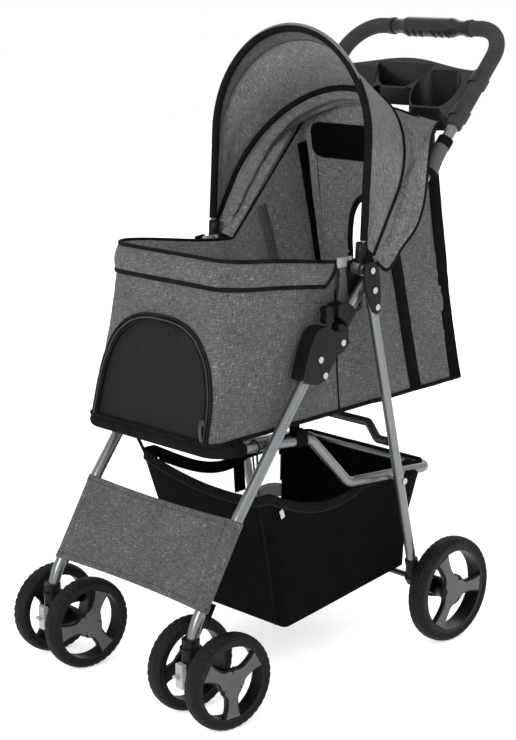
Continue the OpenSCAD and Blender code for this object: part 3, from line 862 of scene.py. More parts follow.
def on_seat(piece):
    """Keeps a soft piece for the seat frame, which folds flat with it."""
    SOFT_SEAT.append(piece)
    return piece


PIPING_R = 3.0 * MM
COLLAR_END_Y = -20 * MM


def cabin_collar():
    """The folded grey collar round the front of the rim, with piping below it and on its slanted ends."""
    end_low = cabin_j(COLLAR_END_Y - 23 * MM, 0.86)
    end_high = cabin_j(COLLAR_END_Y + 1 * MM, 1.0)
    rows, low_h, high_h = 10, 0.853, 0.992
    grid = []
    for i in range(rows + 1):
        s = i / rows
        h = lerp(low_h, high_h, s)
        end = lerp(end_low, end_high, s)
        row = []
        for k in range(2 * end_low + 1):
            j = lerp(-end, end, k / (2 * end_low))
            whole = math.floor(j)
            part = j - whole
            wave = 0.0012 * ripple((j * 0.01, h * 2.0, 1.0), 0.22, 5.0)
            swell = 0.0042 * math.sin(math.pi * s) + wave * math.sin(math.pi * s) + 0.0008
            a = cabin_point(whole, h, swell)
            b = cabin_point(min(whole + 1, AROUND), h, swell)
            row.append(a.lerp(b, part))
        grid.append(row)
    on_seat(cloth_piece("cabin_collar", grid, None, "grey_fabric", "collar", 1.6 * MM, offset=1))

    lower = [p + Vector((0, 0, -0.5 * MM)) for p in grid[0]]
    first_end = [row[0] for row in grid]
    last_end = [row[-1] for row in grid]
    path = first_end[::-1] + lower + last_end
    lifted = [p + n * 1.0 * MM for p, n in zip(path, outward(path))]
    on_seat(swept(
        "collar_piping", lifted, [(a * 1.35, b * 0.8) for a, b in round_profile(PIPING_R, 12)],
        "piping", None, "grey_fabric",
        normals=outward(lifted)
    ))
    seam = [p + n * 2.2 * MM + Vector((0, 0, 5.5 * MM)) for p, n in zip(grid[0], outward(grid[0]))][4:-4]
    on_seat(stitches("collar_stitches", seam, None, "grey_fabric"))


def rim_piping():
    path = [p + Vector((0, 0, 1.0 * MM)) for p in cabin_edge(1.0)[:-1]]
    on_seat(swept(
        "rim_piping", path, round_profile(PIPING_R, 12), "piping", None, "grey_fabric",
        normals=outward(path), closed=True
    ))


def bottom_piping():
    path = [p + Vector((0, 0, 1.5 * MM)) for p in cabin_edge(0.0, 0.8 * MM)[:-1]]
    on_seat(swept(
        "bottom_piping", path, [(a * 1.1, b) for a, b in round_profile(PIPING_R, 12)], "piping", None,
        "grey_fabric", normals=outward(path), closed=True
    ))


def wall_path(j_low, j_high, h_low, h_high, out, steps=60):
    """A path up the cabin wall from one outline step to another."""
    path = []
    for i in range(steps + 1):
        t = i / steps
        j = lerp(j_low, j_high, t)
        whole = math.floor(j)
        h = lerp(h_low, h_high, t)
        path.append(cabin_point(whole, h, out).lerp(cabin_point(whole + 1, h, out), j - whole))
    return path


def wall_strip(name, places, width, thick, out, slot, side):
    """A flat strip up a side wall; places gives its middle's depth at height shares."""
    path = []
    for (y0, h0), (y1, h1) in zip(places, places[1:]):
        path += wall_path(side * cabin_j(y0, h0), side * cabin_j(y1, h1), h0, h1, out, 40)[:-1]
    return on_seat(swept(
        name, path, strap_profile(width, thick), slot, None, "black_fabric",
        normals=[Vector((side if out > 0 else -side, 0, 0))] * len(path)
    ))


def side_seams():
    """Side seams, the webbing stripes and the bindings of the rear corners, outside and inside."""
    for side, name in ((1, "left"), (-1, "right")):
        wall_strip("side_seam_" + name, [(-7 * MM, 0.01), (-20 * MM, 0.84)], 3.2 * MM, 1.2 * MM,
                   0.4 * MM, "piping", side)
        stripe = [(173 * MM, 0.01), (128 * MM, 0.60), (98 * MM, 0.985)]
        wall_strip("side_stripe_" + name, stripe, 25 * MM, 1.4 * MM, 1.0 * MM, "webbing", side)
        inside = [(171 * MM, 0.05), (128 * MM, 0.60), (100 * MM, 0.95)]
        wall_strip("inner_stripe_" + name, inside, 20 * MM, 1.0 * MM, -SHELL_THICK - 1.0 * MM,
                   "facing", side)
        reach = 13.5 * MM
        corner = [(BOTTOM_REAR - reach, 0.0), (TOP_REAR[0] - reach, 0.995)]
        wall_strip("rear_corner_" + name, corner, 26 * MM, 1.6 * MM, 1.0 * MM, "black", side)
        corner = [(BOTTOM_REAR - reach, 0.04), (TOP_REAR[0] - reach, 0.96)]
        wall_strip("inner_corner_" + name, corner, 22 * MM, 1.2 * MM, -SHELL_THICK - 1.0 * MM,
                   "black", side)
        edge = max(k for k in range(AROUND + 1) if LOW_LINE[k][0] > WALL_HALF - 1.5 * MM)
        path = wall_path(side * edge, side * edge, 0.0, 1.0, 0.6 * MM)
        facing = [Vector((side, 1, 0)).normalized()] * len(path)
        on_seat(swept(
            "rear_edge_" + name, path, [(a, b * 0.7) for a, b in round_profile(3.4 * MM, 12)], "black",
            None, "grey_fabric", normals=facing
        ))


def under_cloth():
    """The floor's grey cover, which sags a little below the bottom piping behind the seat frame's kink."""
    rows = 16
    grid = []
    for i in range(rows + 1):
        s = i / rows
        row = []
        for j in range(-AROUND, AROUND + 1):
            edge = cabin_point(j, 0.0)
            p = edge.lerp(Vector((0, edge.y * 0.9, edge.z)), s)
            free = ease((edge.y + 45 * MM) / (70 * MM)) * ease((BOTTOM_REAR + 2 * MM - p.y) / (26 * MM))
            drop = 13 * MM * free * math.sin(math.pi * min(s * 2.2, 0.55)) if s > 0 else 0
            wave = 1 + 0.35 * ripple((p.x, p.y, 1.4), 0.05, 3.6)
            row.append(p + Vector((0, 0, 1.5 * MM - drop * wave)))
        grid.append(row)
    on_seat(cloth_piece("under_cloth", grid, None, "grey_fabric", "grey", 1.2 * MM))


def arch_path(arch, power, wall, out, count=72):
    """Points along an arch on the front or the rear wall, set out from the cloth."""
    half, low, high = arch
    points = []
    for x, z in arch_line(half, low, high, power, count):
        y = wall_depth(wall, x, z)
        points.append(Vector((x, y + (-out if wall < 0 else out), z)))
    return points


def wall_depth(wall, x, z):
    """Depth of the front (wall < 0) or rear wall of the cabin at a place in the front view."""
    best = None
    h = clamp((z - BOTTOM_Z[wall > 0]) / ((RIM_FRONT if wall < 0 else TOP_REAR)[1] - BOTTOM_Z[wall > 0]))
    ks = range(0, AROUND // 2) if wall < 0 else range(AROUND // 2, AROUND + 1)
    for k in ks:
        p = cabin_point(k, h)
        gap = abs(p.x - abs(x))
        if best is None or gap < best[0]:
            best = (gap, p.y)
    return best[1]


def front_window():
    """The arched front window: net, zip ribbon, coil, piping and pull."""
    half, low, high = FRONT_ARCH
    outer = arch_path(FRONT_ARCH, FRONT_POWER, -1, 1.2 * MM)
    facing = [Vector((0.15 * math.copysign(1, p.x) if abs(p.x) > 0.09 else 0, -1, 0.06)) for p in outer]
    on_seat(swept(
        "window_binding", outer, strap_profile(15 * MM, 1.8 * MM), "piping", None, "grey_fabric",
        normals=facing
    ))
    coil = [p + Vector((0, -1.4 * MM, 0)) for p in outer]
    on_seat(stitches("window_zip_coil", coil, None, "grey_fabric", "zip_teeth", 0.0021, 0.0013, 0.0013))
    for shift, tag in ((5.6 * MM, "outer"), (-5.6 * MM, "inner")):
        scale_x, scale_z = (half + shift) / half, (high - low + shift) / (high - low)
        line = [
            Vector((p.x * scale_x, p.y - 1.1 * MM, low + (p.z - low) * scale_z)) for p in outer
        ]
        on_seat(stitches("window_stitches_" + tag, line, None, "grey_fabric"))

    columns, rows = 56, 40
    grid = []
    for i in range(rows + 1):
        v = i / rows
        row = []
        for k in range(columns + 1):
            u = 2 * k / columns - 1
            top = low + (high - low) * (1 - abs(u) ** FRONT_POWER) ** (1 / FRONT_POWER)
            z = lerp(low, max(top, low + 2 * MM), v)
            x = u * half
            sag = 0.006 * (1 - u * u) * math.sin(math.pi * v)
            y = wall_depth(-1, x, z) + 2.2 * MM + sag + 0.0012 * ripple((x, z, 2.0), 0.05, 9.0)
            row.append(Vector((x, y, z)))
        grid.append(row)
    net = on_seat(cloth_piece("window_net", grid, None, "black_fabric", "mesh", 0.5 * MM))
    sheet(grid)

    foot = outer[0]
    pull_top = Vector((foot.x + 1 * MM, foot.y - 3.5 * MM, low + 36 * MM))
    slider = sweep(
        [pull_top, pull_top - Vector((0, 0, 9 * MM))], strap_profile(8 * MM, 4.5 * MM),
        [Vector((0, -1, 0))] * 2
    )
    tab_path = smooth_path([
        pull_top + Vector((0, -2.5 * MM, -4 * MM)), pull_top + Vector((0, -4.5 * MM, -12 * MM)),
        pull_top + Vector((0.5 * MM, -4.5 * MM, -24 * MM)), pull_top + Vector((1 * MM, -3.0 * MM, -33 * MM))
    ], 3 * MM)
    tab = sweep(tab_path, strap_profile(5.5 * MM, 2 * MM), [Vector((0, -1, 0))] * len(tab_path))
    on_seat(joined("window_zip_pull", [slider, tab], "zip", None, "grey_fabric"))


def rear_doorway():
    """The open arch in the rear wall, its binding, and the flap rolled up over it."""
    ring = arch_path(REAR_ARCH, REAR_POWER, 1, 0.8 * MM)
    half, low, high = REAR_ARCH
    base = [
        Vector((lerp(-half, half, k / 16), wall_depth(1, lerp(-half, half, k / 16), low) + 0.8 * MM, low))
        for k in range(1, 16)
    ]
    loop = ring + base
    on_seat(swept(
        "doorway_binding", loop, strap_profile(11 * MM, 4.2 * MM), "piping", None, "grey_fabric",
        normals=[Vector((0, 1, 0.1))] * len(loop), closed=True
    ))
    # The flap is rolled up tight and tied with two tapes
    turns, core, layer, width = 2.6, 4.5 * MM, 3.0 * MM, 2 * half - 14 * MM
    rows, columns = 70, 24
    centre_z = high + 24 * MM
    grid = []
    for i in range(rows + 1):
        a = turns * 2 * math.pi * i / rows
        radius = core + layer * a / (2 * math.pi)
        row = []
        for k in range(columns + 1):
            u = 2 * k / columns - 1
            x = u * width / 2
            y = wall_depth(1, x, centre_z) + core + layer * turns + 2 * MM
            squeeze = 1 - 0.16 * math.exp(-((abs(u) - 0.55) / 0.10) ** 2)
            droop = 2.5 * MM * (1 - u * u)
            row.append(Vector((
                x, y - radius * squeeze * math.cos(a), centre_z - droop + radius * squeeze * math.sin(a)
            )))
        grid.append(row)
    flap = on_seat(cloth_piece("rear_flap_roll", grid, None, "grey_fabric", "grey", 1.0 * MM))
    sheet(grid)
    outside = core + layer * turns + 1.4 * MM
    parts = []
    for u in (-0.55, 0.55):
        x = u * width / 2
        y = wall_depth(1, x, centre_z) + core + layer * turns + 2 * MM
        path = [
            Vector((x, y - outside * 0.86 * math.cos(t), centre_z - 1.5 * MM + outside * 0.86 * math.sin(t)))
            for t in [2 * math.pi * k / 28 for k in range(28)]
        ]
        normals = [(p - Vector((x, y, centre_z - 1.5 * MM))).normalized() for p in path]
        parts.append(sweep(path, strap_profile(14 * MM, 1.2 * MM), normals, closed=True))
    on_seat(joined("rear_flap_ties", parts, "webbing", None, "black_fabric"))


def cabin_inside():
    """The dark pocket on the rear wall's inner side, under the canopy's hinge line."""
    width, low, high = 262 * MM, 771 * MM, 831 * MM
    rows, columns = 24, 60
    grid = []
    for i in range(rows + 1):
        v = i / rows
        row = []
        for k in range(columns + 1):
            u = 2 * k / columns - 1
            z = lerp(low, high, v)
            x = u * width / 2
            short = 20 * MM * (1 - math.sqrt(max(0, 1 - (max(abs(2 * v - 1), 0.4) - 0.4) ** 2 / 0.36)))
            x = x * (1 - short / (width / 2))
            y = wall_depth(1, x, z) - SHELL_THICK - 1.2 * MM - 1.2 * MM * (1 - u ** 4) * math.sin(math.pi * v)
            row.append(Vector((x, y, z)))
        grid.append(row)
    panel = on_seat(cloth_piece("inner_pocket", grid, None, "black_fabric", "black", 1.2 * MM))
    sheet(grid)


# ---- Canopy ----
# Each bow's line is given by u, from its near end at -X over the top to the other end: 0 to 1.
# Its plane leans back from the canopy pivot; v is the distance from the pivot in that plane.

LEG_SHARE = 0.30


def leaning(x, v, elevation, shift=0.0):
    a = math.radians(elevation)
    return Vector((x, CANOPY[0] + shift + v * math.cos(a), CANOPY[1] + v * math.sin(a)))


def bow_line(half, leg, start, u, roundness=1.0):
    """The (x, v) place at share u of an arch on two legs."""
    side = 1 if u < 0.5 else -1
    t = min(u, 1 - u)
    if t < LEG_SHARE:
        return side * half, lerp(start, leg, t / LEG_SHARE)
    a = math.pi / 2 * (t - LEG_SHARE) / (0.5 - LEG_SHARE)
    return side * half * math.cos(a), leg + half * roundness * math.sin(a)


BOW_FRONT = 87.1       # elevation of the front bow's plane
FRONT_HALF = 173.2 * MM
STAY_HALF = 182 * MM


def front_line(u, out=0.0):
    x, v = bow_line(FRONT_HALF + out, 188 * MM, 42 * MM, u)
    return leaning(x, v, BOW_FRONT, 3 * MM)


def stay_line(u, out=0.0):
    x, v = bow_line(STAY_HALF + out, 120 * MM, 24 * MM, u)
    return leaning(x, v, 60)


HEM_SIDE = smooth_path([
    (178 * MM, 36 * MM, 647 * MM), (180 * MM, 62 * MM, 633 * MM), (181 * MM, 92 * MM, 664 * MM),
    (181 * MM, 124 * MM, 692 * MM), (181 * MM, 142 * MM, 732 * MM), (179 * MM, 151 * MM, 782 * MM),
    (170 * MM, 168 * MM, 818 * MM), (157 * MM, 194 * MM, 842 * MM), (151 * MM, 211 * MM, 848 * MM)
], 3 * MM)


def hem_line(u):
    """The cover's rear edge: its sides hang outside the cabin's rim, its top lies on the rear wall."""
    side = 1 if u < 0.5 else -1
    t = min(u, 1 - u) / 0.5
    corner = 0.62
    if t < corner:
        p = HEM_SIDE[round(t / corner * (len(HEM_SIDE) - 1))]
        return Vector((side * p.x, p.y, p.z))
    s = (t - corner) / (1 - corner)
    x = lerp(HEM_SIDE[-1].x, 0, s)
    return Vector((side * x, 214 * MM, lerp(848, 862, math.sin(math.pi / 2 * s)) * MM))


def rim_line(u):
    """The line inside the cabin's rim where the inner gusset is sewn."""
    side = 1 if u < 0.5 else -1
    t = min(u, 1 - u) / 0.5
    corner = 0.66
    if t < corner:
        s = t / corner
        x = WALL_HALF - 1.5 * MM
        y, z = (lerp(a, b, s) for a, b in zip((RIM_HINGE[0], RIM_HINGE[1]), TOP_REAR))
        return Vector((side * x, y - 5 * MM * s, z + 1 * MM))
    s = (t - corner) / (1 - corner)
    x = (WALL_HALF - 1.5 * MM) * (1 - s)
    rise = REAR_RISE * (1 - (x / WALL_HALF) ** 2)
    return Vector((side * x, TOP_REAR[0] - 5 * MM, TOP_REAR[1] + rise + 1 * MM))


def cover_panel(name, first, last, columns, rows, sag, folds, seed):
    """Cloth between two lines, a straight surface that sags inward and has creases running along it."""
    grid = []
    for i in range(rows + 1):
        s = i / rows
        row = []
        for k in range(columns + 1):
            u = k / columns
            a, b = first(u), last(u)
            p = a.lerp(b, s)
            centre = Vector((0, p.y, CANOPY[1] + 0.1))
            normal = Vector((p.x, 0, max(p.z - centre.z, 0))).normalized()
            side = 1 - ease((p.z - 0.80) / 0.12)
            amount = math.sin(math.pi * s)
            crease = folds * side * math.sin(2 * math.pi * (2.1 * s + 0.1)) * amount * ease(min(u, 1 - u) * 8)
            wave = 0.0050 * ripple((u * 2.4, s * 1.1, seed), 0.34, seed) * amount
            wave += 0.0038 * ripple((u * 9.0, s * 0.8, seed), 0.35, seed + 2) * amount
            row.append(p - normal * (sag * amount - crease - wave))
        grid.append(row)
    # The lining slot carries the brightened lining colour, painted light for the canopy's inside
    piece = place(name, mesh_from(
        name, [p for row in grid for p in row], grid_faces(rows + 1, columns + 1), flat_lengths(grid)
    ), None, "grey_fabric", ["lining_painted_fill", "canopy"])
    thicken(piece, 1.6 * MM, offset=0, inner=1)
    return apply_modifiers(piece), grid


def follow_stay(piece):
    """Bakes the piece's transform into its mesh."""
    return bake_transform(piece)


def follow_front(piece):
    """Bakes the piece's transform into its mesh."""
    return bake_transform(piece)


def canopy():
    columns = 150
    roof, roof_grid = cover_panel(
        "canopy_panel", front_line, stay_line, columns, 26, 5 * MM, 0.0, 4.4
    )
    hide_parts("canopy_cover")
    sheet(roof_grid)
    follow_front(roof)
    rear, rear_grid = cover_panel(
        "canopy_gusset", stay_line, hem_line, columns, 22, 5 * MM, 4.5 * MM, 8.1
    )
    sheet(rear_grid)
    follow_stay(rear)
    inner, inner_grid = cover_panel(
        "canopy_inner_gusset", lambda u: stay_line(u, -7 * MM), rim_line, columns, 22, 6 * MM, 7 * MM, 2.6
    )
    sheet(inner_grid)
    follow_stay(inner)

    outward_from = Vector((0, CANOPY[0], CANOPY[1] + 0.12))

    def normals(path):
        return [(p - Vector((0, p.y, outward_from.z))).normalized() for p in path]

    # The front binding wraps round the bow as a wide hem, double on the inside
    edge = [front_line(k / 170, -1.0 * MM) for k in range(171)]
    hem = []
    for angle in range(0, 360, 30):
        a = math.radians(angle)
        hem.append((6.4 * MM * math.cos(a), 6.2 * MM * math.sin(a)))
    binding_path = [p - n * 3.2 * MM for p, n in zip(edge, normals(edge))]
    swept(
        "canopy_binding", binding_path, hem, "piping", "canopy_front", "grey_fabric",
        normals=normals(binding_path)
    )
    stay_edge = [stay_line(k / 170) for k in range(171)]
    inner = []
    for s in (0.02, 0.06, 0.10, 0.14, 0.18):
        inner.append([
            p.lerp(q, s) - n * (6 * MM * math.sin(math.pi * s) + 2.4 * MM)
            for p, q, n in zip(edge, stay_edge, normals(edge))
        ])
    cloth_piece("canopy_facing", inner, "canopy_front", "grey_fabric", "facing", 0.8 * MM)
    line = [p.lerp(q, 0.052) + n * 1.2 * MM for p, q, n in zip(edge, stay_edge, normals(edge))]
    stitches("canopy_binding_stitches", line, "canopy_front", "grey_fabric")

    stay = [stay_line(k / 150, 1.2 * MM) for k in range(151)]
    follow_stay(swept(
        "canopy_stay_piping", stay, round_profile(2.6 * MM, 10), "piping", None, "grey_fabric",
        normals=normals(stay)
    ))
    half = (span("canopy_bow_middle", 0)[1] - span("canopy_bow_middle", 0)[0]) / 2 - 2.5 * MM
    tube_path = []
    for k in range(161):
        x, v = bow_line(half, 120 * MM, 8 * MM, k / 160)
        tube_path.append(leaning(x, v, 60))
    swept(
        "canopy_stay_casing", tube_path, round_profile(4.1 * MM, 14), "piping", "canopy_middle",
        "grey_fabric", normals=normals(tube_path)
    )
    sockets = []
    for side in (1, -1):
        path = [
            leaning(side * (ARM_X + 1 * MM), v * MM, BOW_FRONT, 3 * MM) for v in (5, 6, 38.5, 40.5)
        ]
        verts, faces, coords = sweep(path, round_profile(1.0, 24), [Vector((side, 0, 0))] * 4)
        radii = (7.6, 9.4, 9.4, 7.6)
        shaped = [path[i // 24] + (v - path[i // 24]) * radii[i // 24] * MM for i, v in enumerate(verts)]
        sockets.append((shaped, faces, coords))
    joined("canopy_bow_sockets", sockets, "plastic", "canopy_front", "black_plastic")
    low = [p + Vector((0, 0, -0.5 * MM)) for p in rear_grid[-1]]
    follow_stay(swept(
        "canopy_hem_piping", low, round_profile(2.8 * MM, 10), "piping", None, "grey_fabric",
        normals=normals(low)
    ))
    # The lower edges of the two near and far corners are bound too
    for k, name in ((0, "left"), (columns, "right")):
        path = [row[k] for row in roof_grid][::-1]
        follow_front(swept(
            "canopy_corner_" + name, path, round_profile(2.4 * MM, 8), "piping", None, "grey_fabric"
        ))


# ---- Footrest ----

LEG_X = ARM_X
LEG_FRONT = Vector((0, -math.sin(LEG_SLOPE), math.cos(LEG_SLOPE)))
LEG_ALONG = Vector((0, math.cos(LEG_SLOPE), math.sin(LEG_SLOPE)))


def footrest():
    """Cloth stretched over both front legs: it wraps round each leg and is sewn to itself behind."""
    low, high = span("footrest_panel", 2)
    low, high = low + 8 * MM, high - 6 * MM
    radius = ARM_R + 1.6 * MM
    rows, arc, flat = 46, 12, 70
    grid = []
    for i in range(rows + 1):
        t = i / rows
        z = lerp(low, high, t)
        centre = Vector((0, on_leg(z), z))
        row = []
        hem = 0.7 * MM if t < 0.07 or t > 0.93 else 0
        for side in (1, -1):
            edge = []
            for k in range(arc + 1):
                a = math.radians(lerp(-150, 90, k / arc))
                edge.append(
                    centre + Vector((side * (LEG_X + (radius + hem) * math.cos(a)), 0, 0))
                    + LEG_FRONT * (radius + hem) * math.sin(a)
                )
            if side > 0:
                row.extend(edge)
                for k in range(1, flat):
                    u = 2 * k / flat - 1
                    middle = 1 - u * u
                    pull = 5 * MM * middle * math.sin(math.pi * t) + 1.5 * MM * middle
                    wave = 1.6 * MM * ripple((u * 1.3, t * 1.2, 4.0), 0.4, 2.2) * middle ** 0.3
                    slack = -4 * MM * middle * (t - 0.5) * 2
                    row.append(
                        centre + Vector((-u * LEG_X, 0, 0)) + LEG_FRONT * (radius + hem - pull + wave)
                        + LEG_ALONG * slack
                    )
            else:
                row.extend(edge[::-1])
        grid.append(row)
    panel = cloth_piece(
        "footrest_cloth", grid, "front_frame", "grey_fabric", "footrest", 1.3 * MM, offset=1
    )
    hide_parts("footrest_panel")
    sheet(grid)
    for t, name in ((0.075, "low"), (0.925, "high")):
        line = [
            p + LEG_FRONT * 1.7 * MM for p in grid[round(t * rows)][arc:-arc]
        ]
        stitches("footrest_stitches_" + name, line, "front_frame", "grey_fabric")
    for side, name in ((1, "left"), (-1, "right")):
        line = [
            row[arc if side > 0 else -arc - 1] + LEG_FRONT * 1.7 * MM - Vector((side * 9 * MM, 0, 0))
            for row in grid[2:-2]
        ]
        stitches("footrest_seam_" + name, line, "front_frame", "grey_fabric")
        z = low + 6 * MM
        back = Vector((side * (LEG_X + 4 * MM), on_leg(z), z)) - LEG_FRONT * (radius + 2.4 * MM)
        path = [back - LEG_ALONG * 9 * MM, back, back + LEG_ALONG * 11 * MM]
        swept(
            "footrest_tab_" + name, path, strap_profile(14 * MM, 2.6 * MM), "webbing", "front_frame",
            "black_fabric", normals=[-LEG_FRONT] * 3
        )


# ---- Basket ----

BASKET_LOW = (-110 * MM, 171 * MM)
BASKET_LOW_Z = (78 * MM, 116 * MM)
BASKET_HIGH = (-174 * MM, 210 * MM)
BASKET_WALL = BASKET_HALF - 2 * MM
BASKET_STEPS, BASKET_UP = 150, 44
BASKET_CORNER = 9 * MM


def basket_line(width, ends):
    """Half of the basket's plan outline, from the middle of its front to the middle of its rear."""
    bend = rounded_outline(width, *ends, BASKET_CORNER, BASKET_CORNER)
    return even_points([(0.0, ends[0])] + bend + [(0.0, ends[1])], BASKET_STEPS + 1)


BASKET_LOW_LINE = basket_line(BASKET_WALL - 4 * MM, BASKET_LOW)
BASKET_HIGH_LINE = basket_line(BASKET_WALL, BASKET_HIGH)


def basket_top(x, y):
    """Height of the basket's top edge, which hangs from its front corners and the seat frame's rear."""
    front_corner = lerp(322, 298, clamp((x + 0.13) / 0.26)) * MM
    if y < -150 * MM:
        return front_corner - 14 * MM * (1 - (x / BASKET_WALL) ** 2)
    s = clamp((y + 150 * MM) / (210 * MM))
    sag = (1 - (2 * s - 1) ** 2) * 26 * MM
    side = lerp(front_corner, 278 * MM, ease(s)) - sag
    return side if y < 60 * MM else lerp(278, 283, clamp((y - 0.06) / 0.13)) * MM


def basket_point(j, h):
    side = -1 if j < 0 else 1
    k = abs(j)
    low, high = BASKET_LOW_LINE[k], BASKET_HIGH_LINE[k]
    x, y = lerp(low[0], high[0], h) * side, lerp(low[1], high[1], h)
    share = clamp((low[1] - BASKET_LOW[0]) / (BASKET_LOW[1] - BASKET_LOW[0]))
    z0 = lerp(BASKET_LOW_Z[0], BASKET_LOW_Z[1], share)
    z = lerp(z0, basket_top(high[0] * side, high[1]), h)
    middle = math.sin(math.pi * h)
    crease = 2.4 * MM * ripple((x * 1.5, y, z * 0.6), 0.07, 12.0) * (0.25 + 0.75 * middle)
    crease += 1.2 * MM * ripple((x, y, z * 0.4), 0.028, 2.0) * middle
    loose = 3.5 * MM * middle
    flat = Vector((x, y - 0.02, 0)).normalized()
    return Vector((x, y, z)) + flat * (crease - loose)


def basket_corner():
    """The outline step in the middle of the basket's front corner."""
    return min(range(BASKET_STEPS), key=lambda k: abs(
        (BASKET_WALL - BASKET_HIGH_LINE[k][0]) - (BASKET_HIGH_LINE[k][1] - BASKET_HIGH[0])
    ) + (9 if BASKET_HIGH_LINE[k][1] > 0 else 0))


def flatten_basket(piece):
    """Gives the piece its own copy of its mesh."""
    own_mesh(piece)


def basket():
    columns = list(range(-BASKET_STEPS, BASKET_STEPS))
    rows = [[basket_point(j, i / BASKET_UP) for j in columns] for i in range(BASKET_UP + 1)]
    n = len(columns)
    verts = [p for row in rows for p in row]
    coords = flat_lengths(rows)
    faces = grid_faces(BASKET_UP + 1, n, wrap=True)
    rings = 12
    centre = Vector((0, sum(BASKET_LOW) / 2, sum(BASKET_LOW_Z) / 2))
    inner = list(range(n))
    for i in range(1, rings):
        t = i / rings
        start = len(verts)
        for k in range(n):
            p = verts[k].lerp(centre, t)
            p = p + Vector((0, 0, -5 * MM * math.sin(math.pi * t / 2)
                            + 1.5 * MM * ripple((p.x, p.y, 0), 0.06, 6.0) * min(1, 3 * t)))
            verts.append(p)
            coords.append((p.x, p.y))
        ring = [start + k for k in range(n)]
        faces += [(inner[(k + 1) % n], inner[k], ring[k], ring[(k + 1) % n]) for k in range(n)]
        inner = ring
    verts.append(centre + Vector((0, 0, -5 * MM)))
    coords.append((0, centre.y))
    tip = len(verts) - 1
    faces += [(inner[(k + 1) % n], inner[k], tip) for k in range(n)]
    bag = place("basket_cloth", mesh_from("basket_cloth", verts, faces, coords), "seat_frame",
                "black_fabric", ["black", "ribbed"])
    for face in bag.data.polygons:
        p = face.center
        if p.x < -BASKET_WALL + 14 * MM and -142 * MM < p.y < 138 * MM and p.z > 122 * MM:
            if p.z < basket_top(-BASKET_WALL, p.y) - 12 * MM:
                face.material_index = 1
    thicken(bag, 1.4 * MM)
    apply_modifiers(bag)
    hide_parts("basket_bag")
    flatten_basket(bag)

    edge = [basket_point(j, 1.0) for j in columns]
    normals = [Vector((p.x, p.y - 0.02, 0)).normalized() for p in edge]
    hem = swept(
        "basket_hem", edge, strap_profile(3.4 * MM, 17 * MM), "piping", "seat_frame", "black_fabric",
        normals=[Vector((0, 0, 1))] * len(edge), closed=True
    )
    flatten_basket(hem)
    seams = []
    corner = basket_corner()
    for j in (corner, -corner):
        path = [basket_point(j, i / BASKET_UP) for i in range(BASKET_UP + 1)]
        out = [Vector((p.x, p.y - 0.02, 0)).normalized() for p in path]
        path = [p + n * 0.9 * MM for p, n in zip(path, out)]
        seams.append(sweep(path, strap_profile(5 * MM, 1.6 * MM), out))
    seam = joined("basket_corner_seams", seams, "piping", "seat_frame", "black_fabric")
    flatten_basket(seam)
    line = [p + n * 2.0 * MM + Vector((0, 0, -6.5 * MM)) for p, n in zip(edge, normals)]
    row = stitches("basket_hem_stitches", line, "seat_frame", "black_fabric")
    flatten_basket(row)

    tag_at = basket_point(corner + 10, 0.94)
    across = (basket_point(corner + 12, 0.94) - tag_at).normalized()
    down = (basket_point(corner + 10, 0.88) - tag_at).normalized()
    facing = Vector((1, 0, 0))
    path = [tag_at + facing * 2.2 * MM + down * d * MM + across * d * 0.2 * MM for d in (0, 4, 8, 13)]
    tag = swept("basket_tag", path, strap_profile(8 * MM, 0.9 * MM), "tag", "seat_frame", "black_fabric",
                normals=[facing] * 4)
    flatten_basket(tag)


SEAT_R = 8 * MM


def seat_tube_at(y):
    """The seat frame tube's centre at depth y: its [x, z]."""
    x = span("seat_tube", 0)[1] - SEAT_R
    run = [(214, 280), (14, 293), (-73, 381), (-272, 396)]
    for (y0, z0), (y1, z1) in zip(run, run[1:]):
        if y * 1000 <= y0 and y * 1000 >= y1:
            return x, lerp(z0, z1, (y * 1000 - y0) / (y1 - y0)) * MM
    return x, run[0][1] * MM


def seat_sleeve():
    """The black cloth sleeve over the seat frame's front run and its two bends."""
    bend = 28 * MM
    x = seat_tube_at(-272 * MM)[0]
    path = []
    for side in (-1, 1):
        part = []
        for k in range(5):
            y = lerp(-216, -244, k / 4) * MM
            part.append(Vector((side * x, y, seat_tube_at(y)[1])))
        for k in range(1, 13):
            a = math.pi / 2 * k / 12
            y = -272 * MM + bend - bend * math.sin(a)
            part.append(Vector((side * (x - bend + bend * math.cos(a)), y, seat_tube_at(y)[1])))
        path += part if side < 0 else part[::-1]
    path = smooth_path([tuple(p) for p in path], 5 * MM)
    swept(
        "seat_sleeve", path, [(a, b * 1.05) for a, b in round_profile(SEAT_R + 1.9 * MM, 24)], "piping",
        "seat_frame", "black_fabric", normals=[Vector((0, 0, -1))] * len(path)
    )


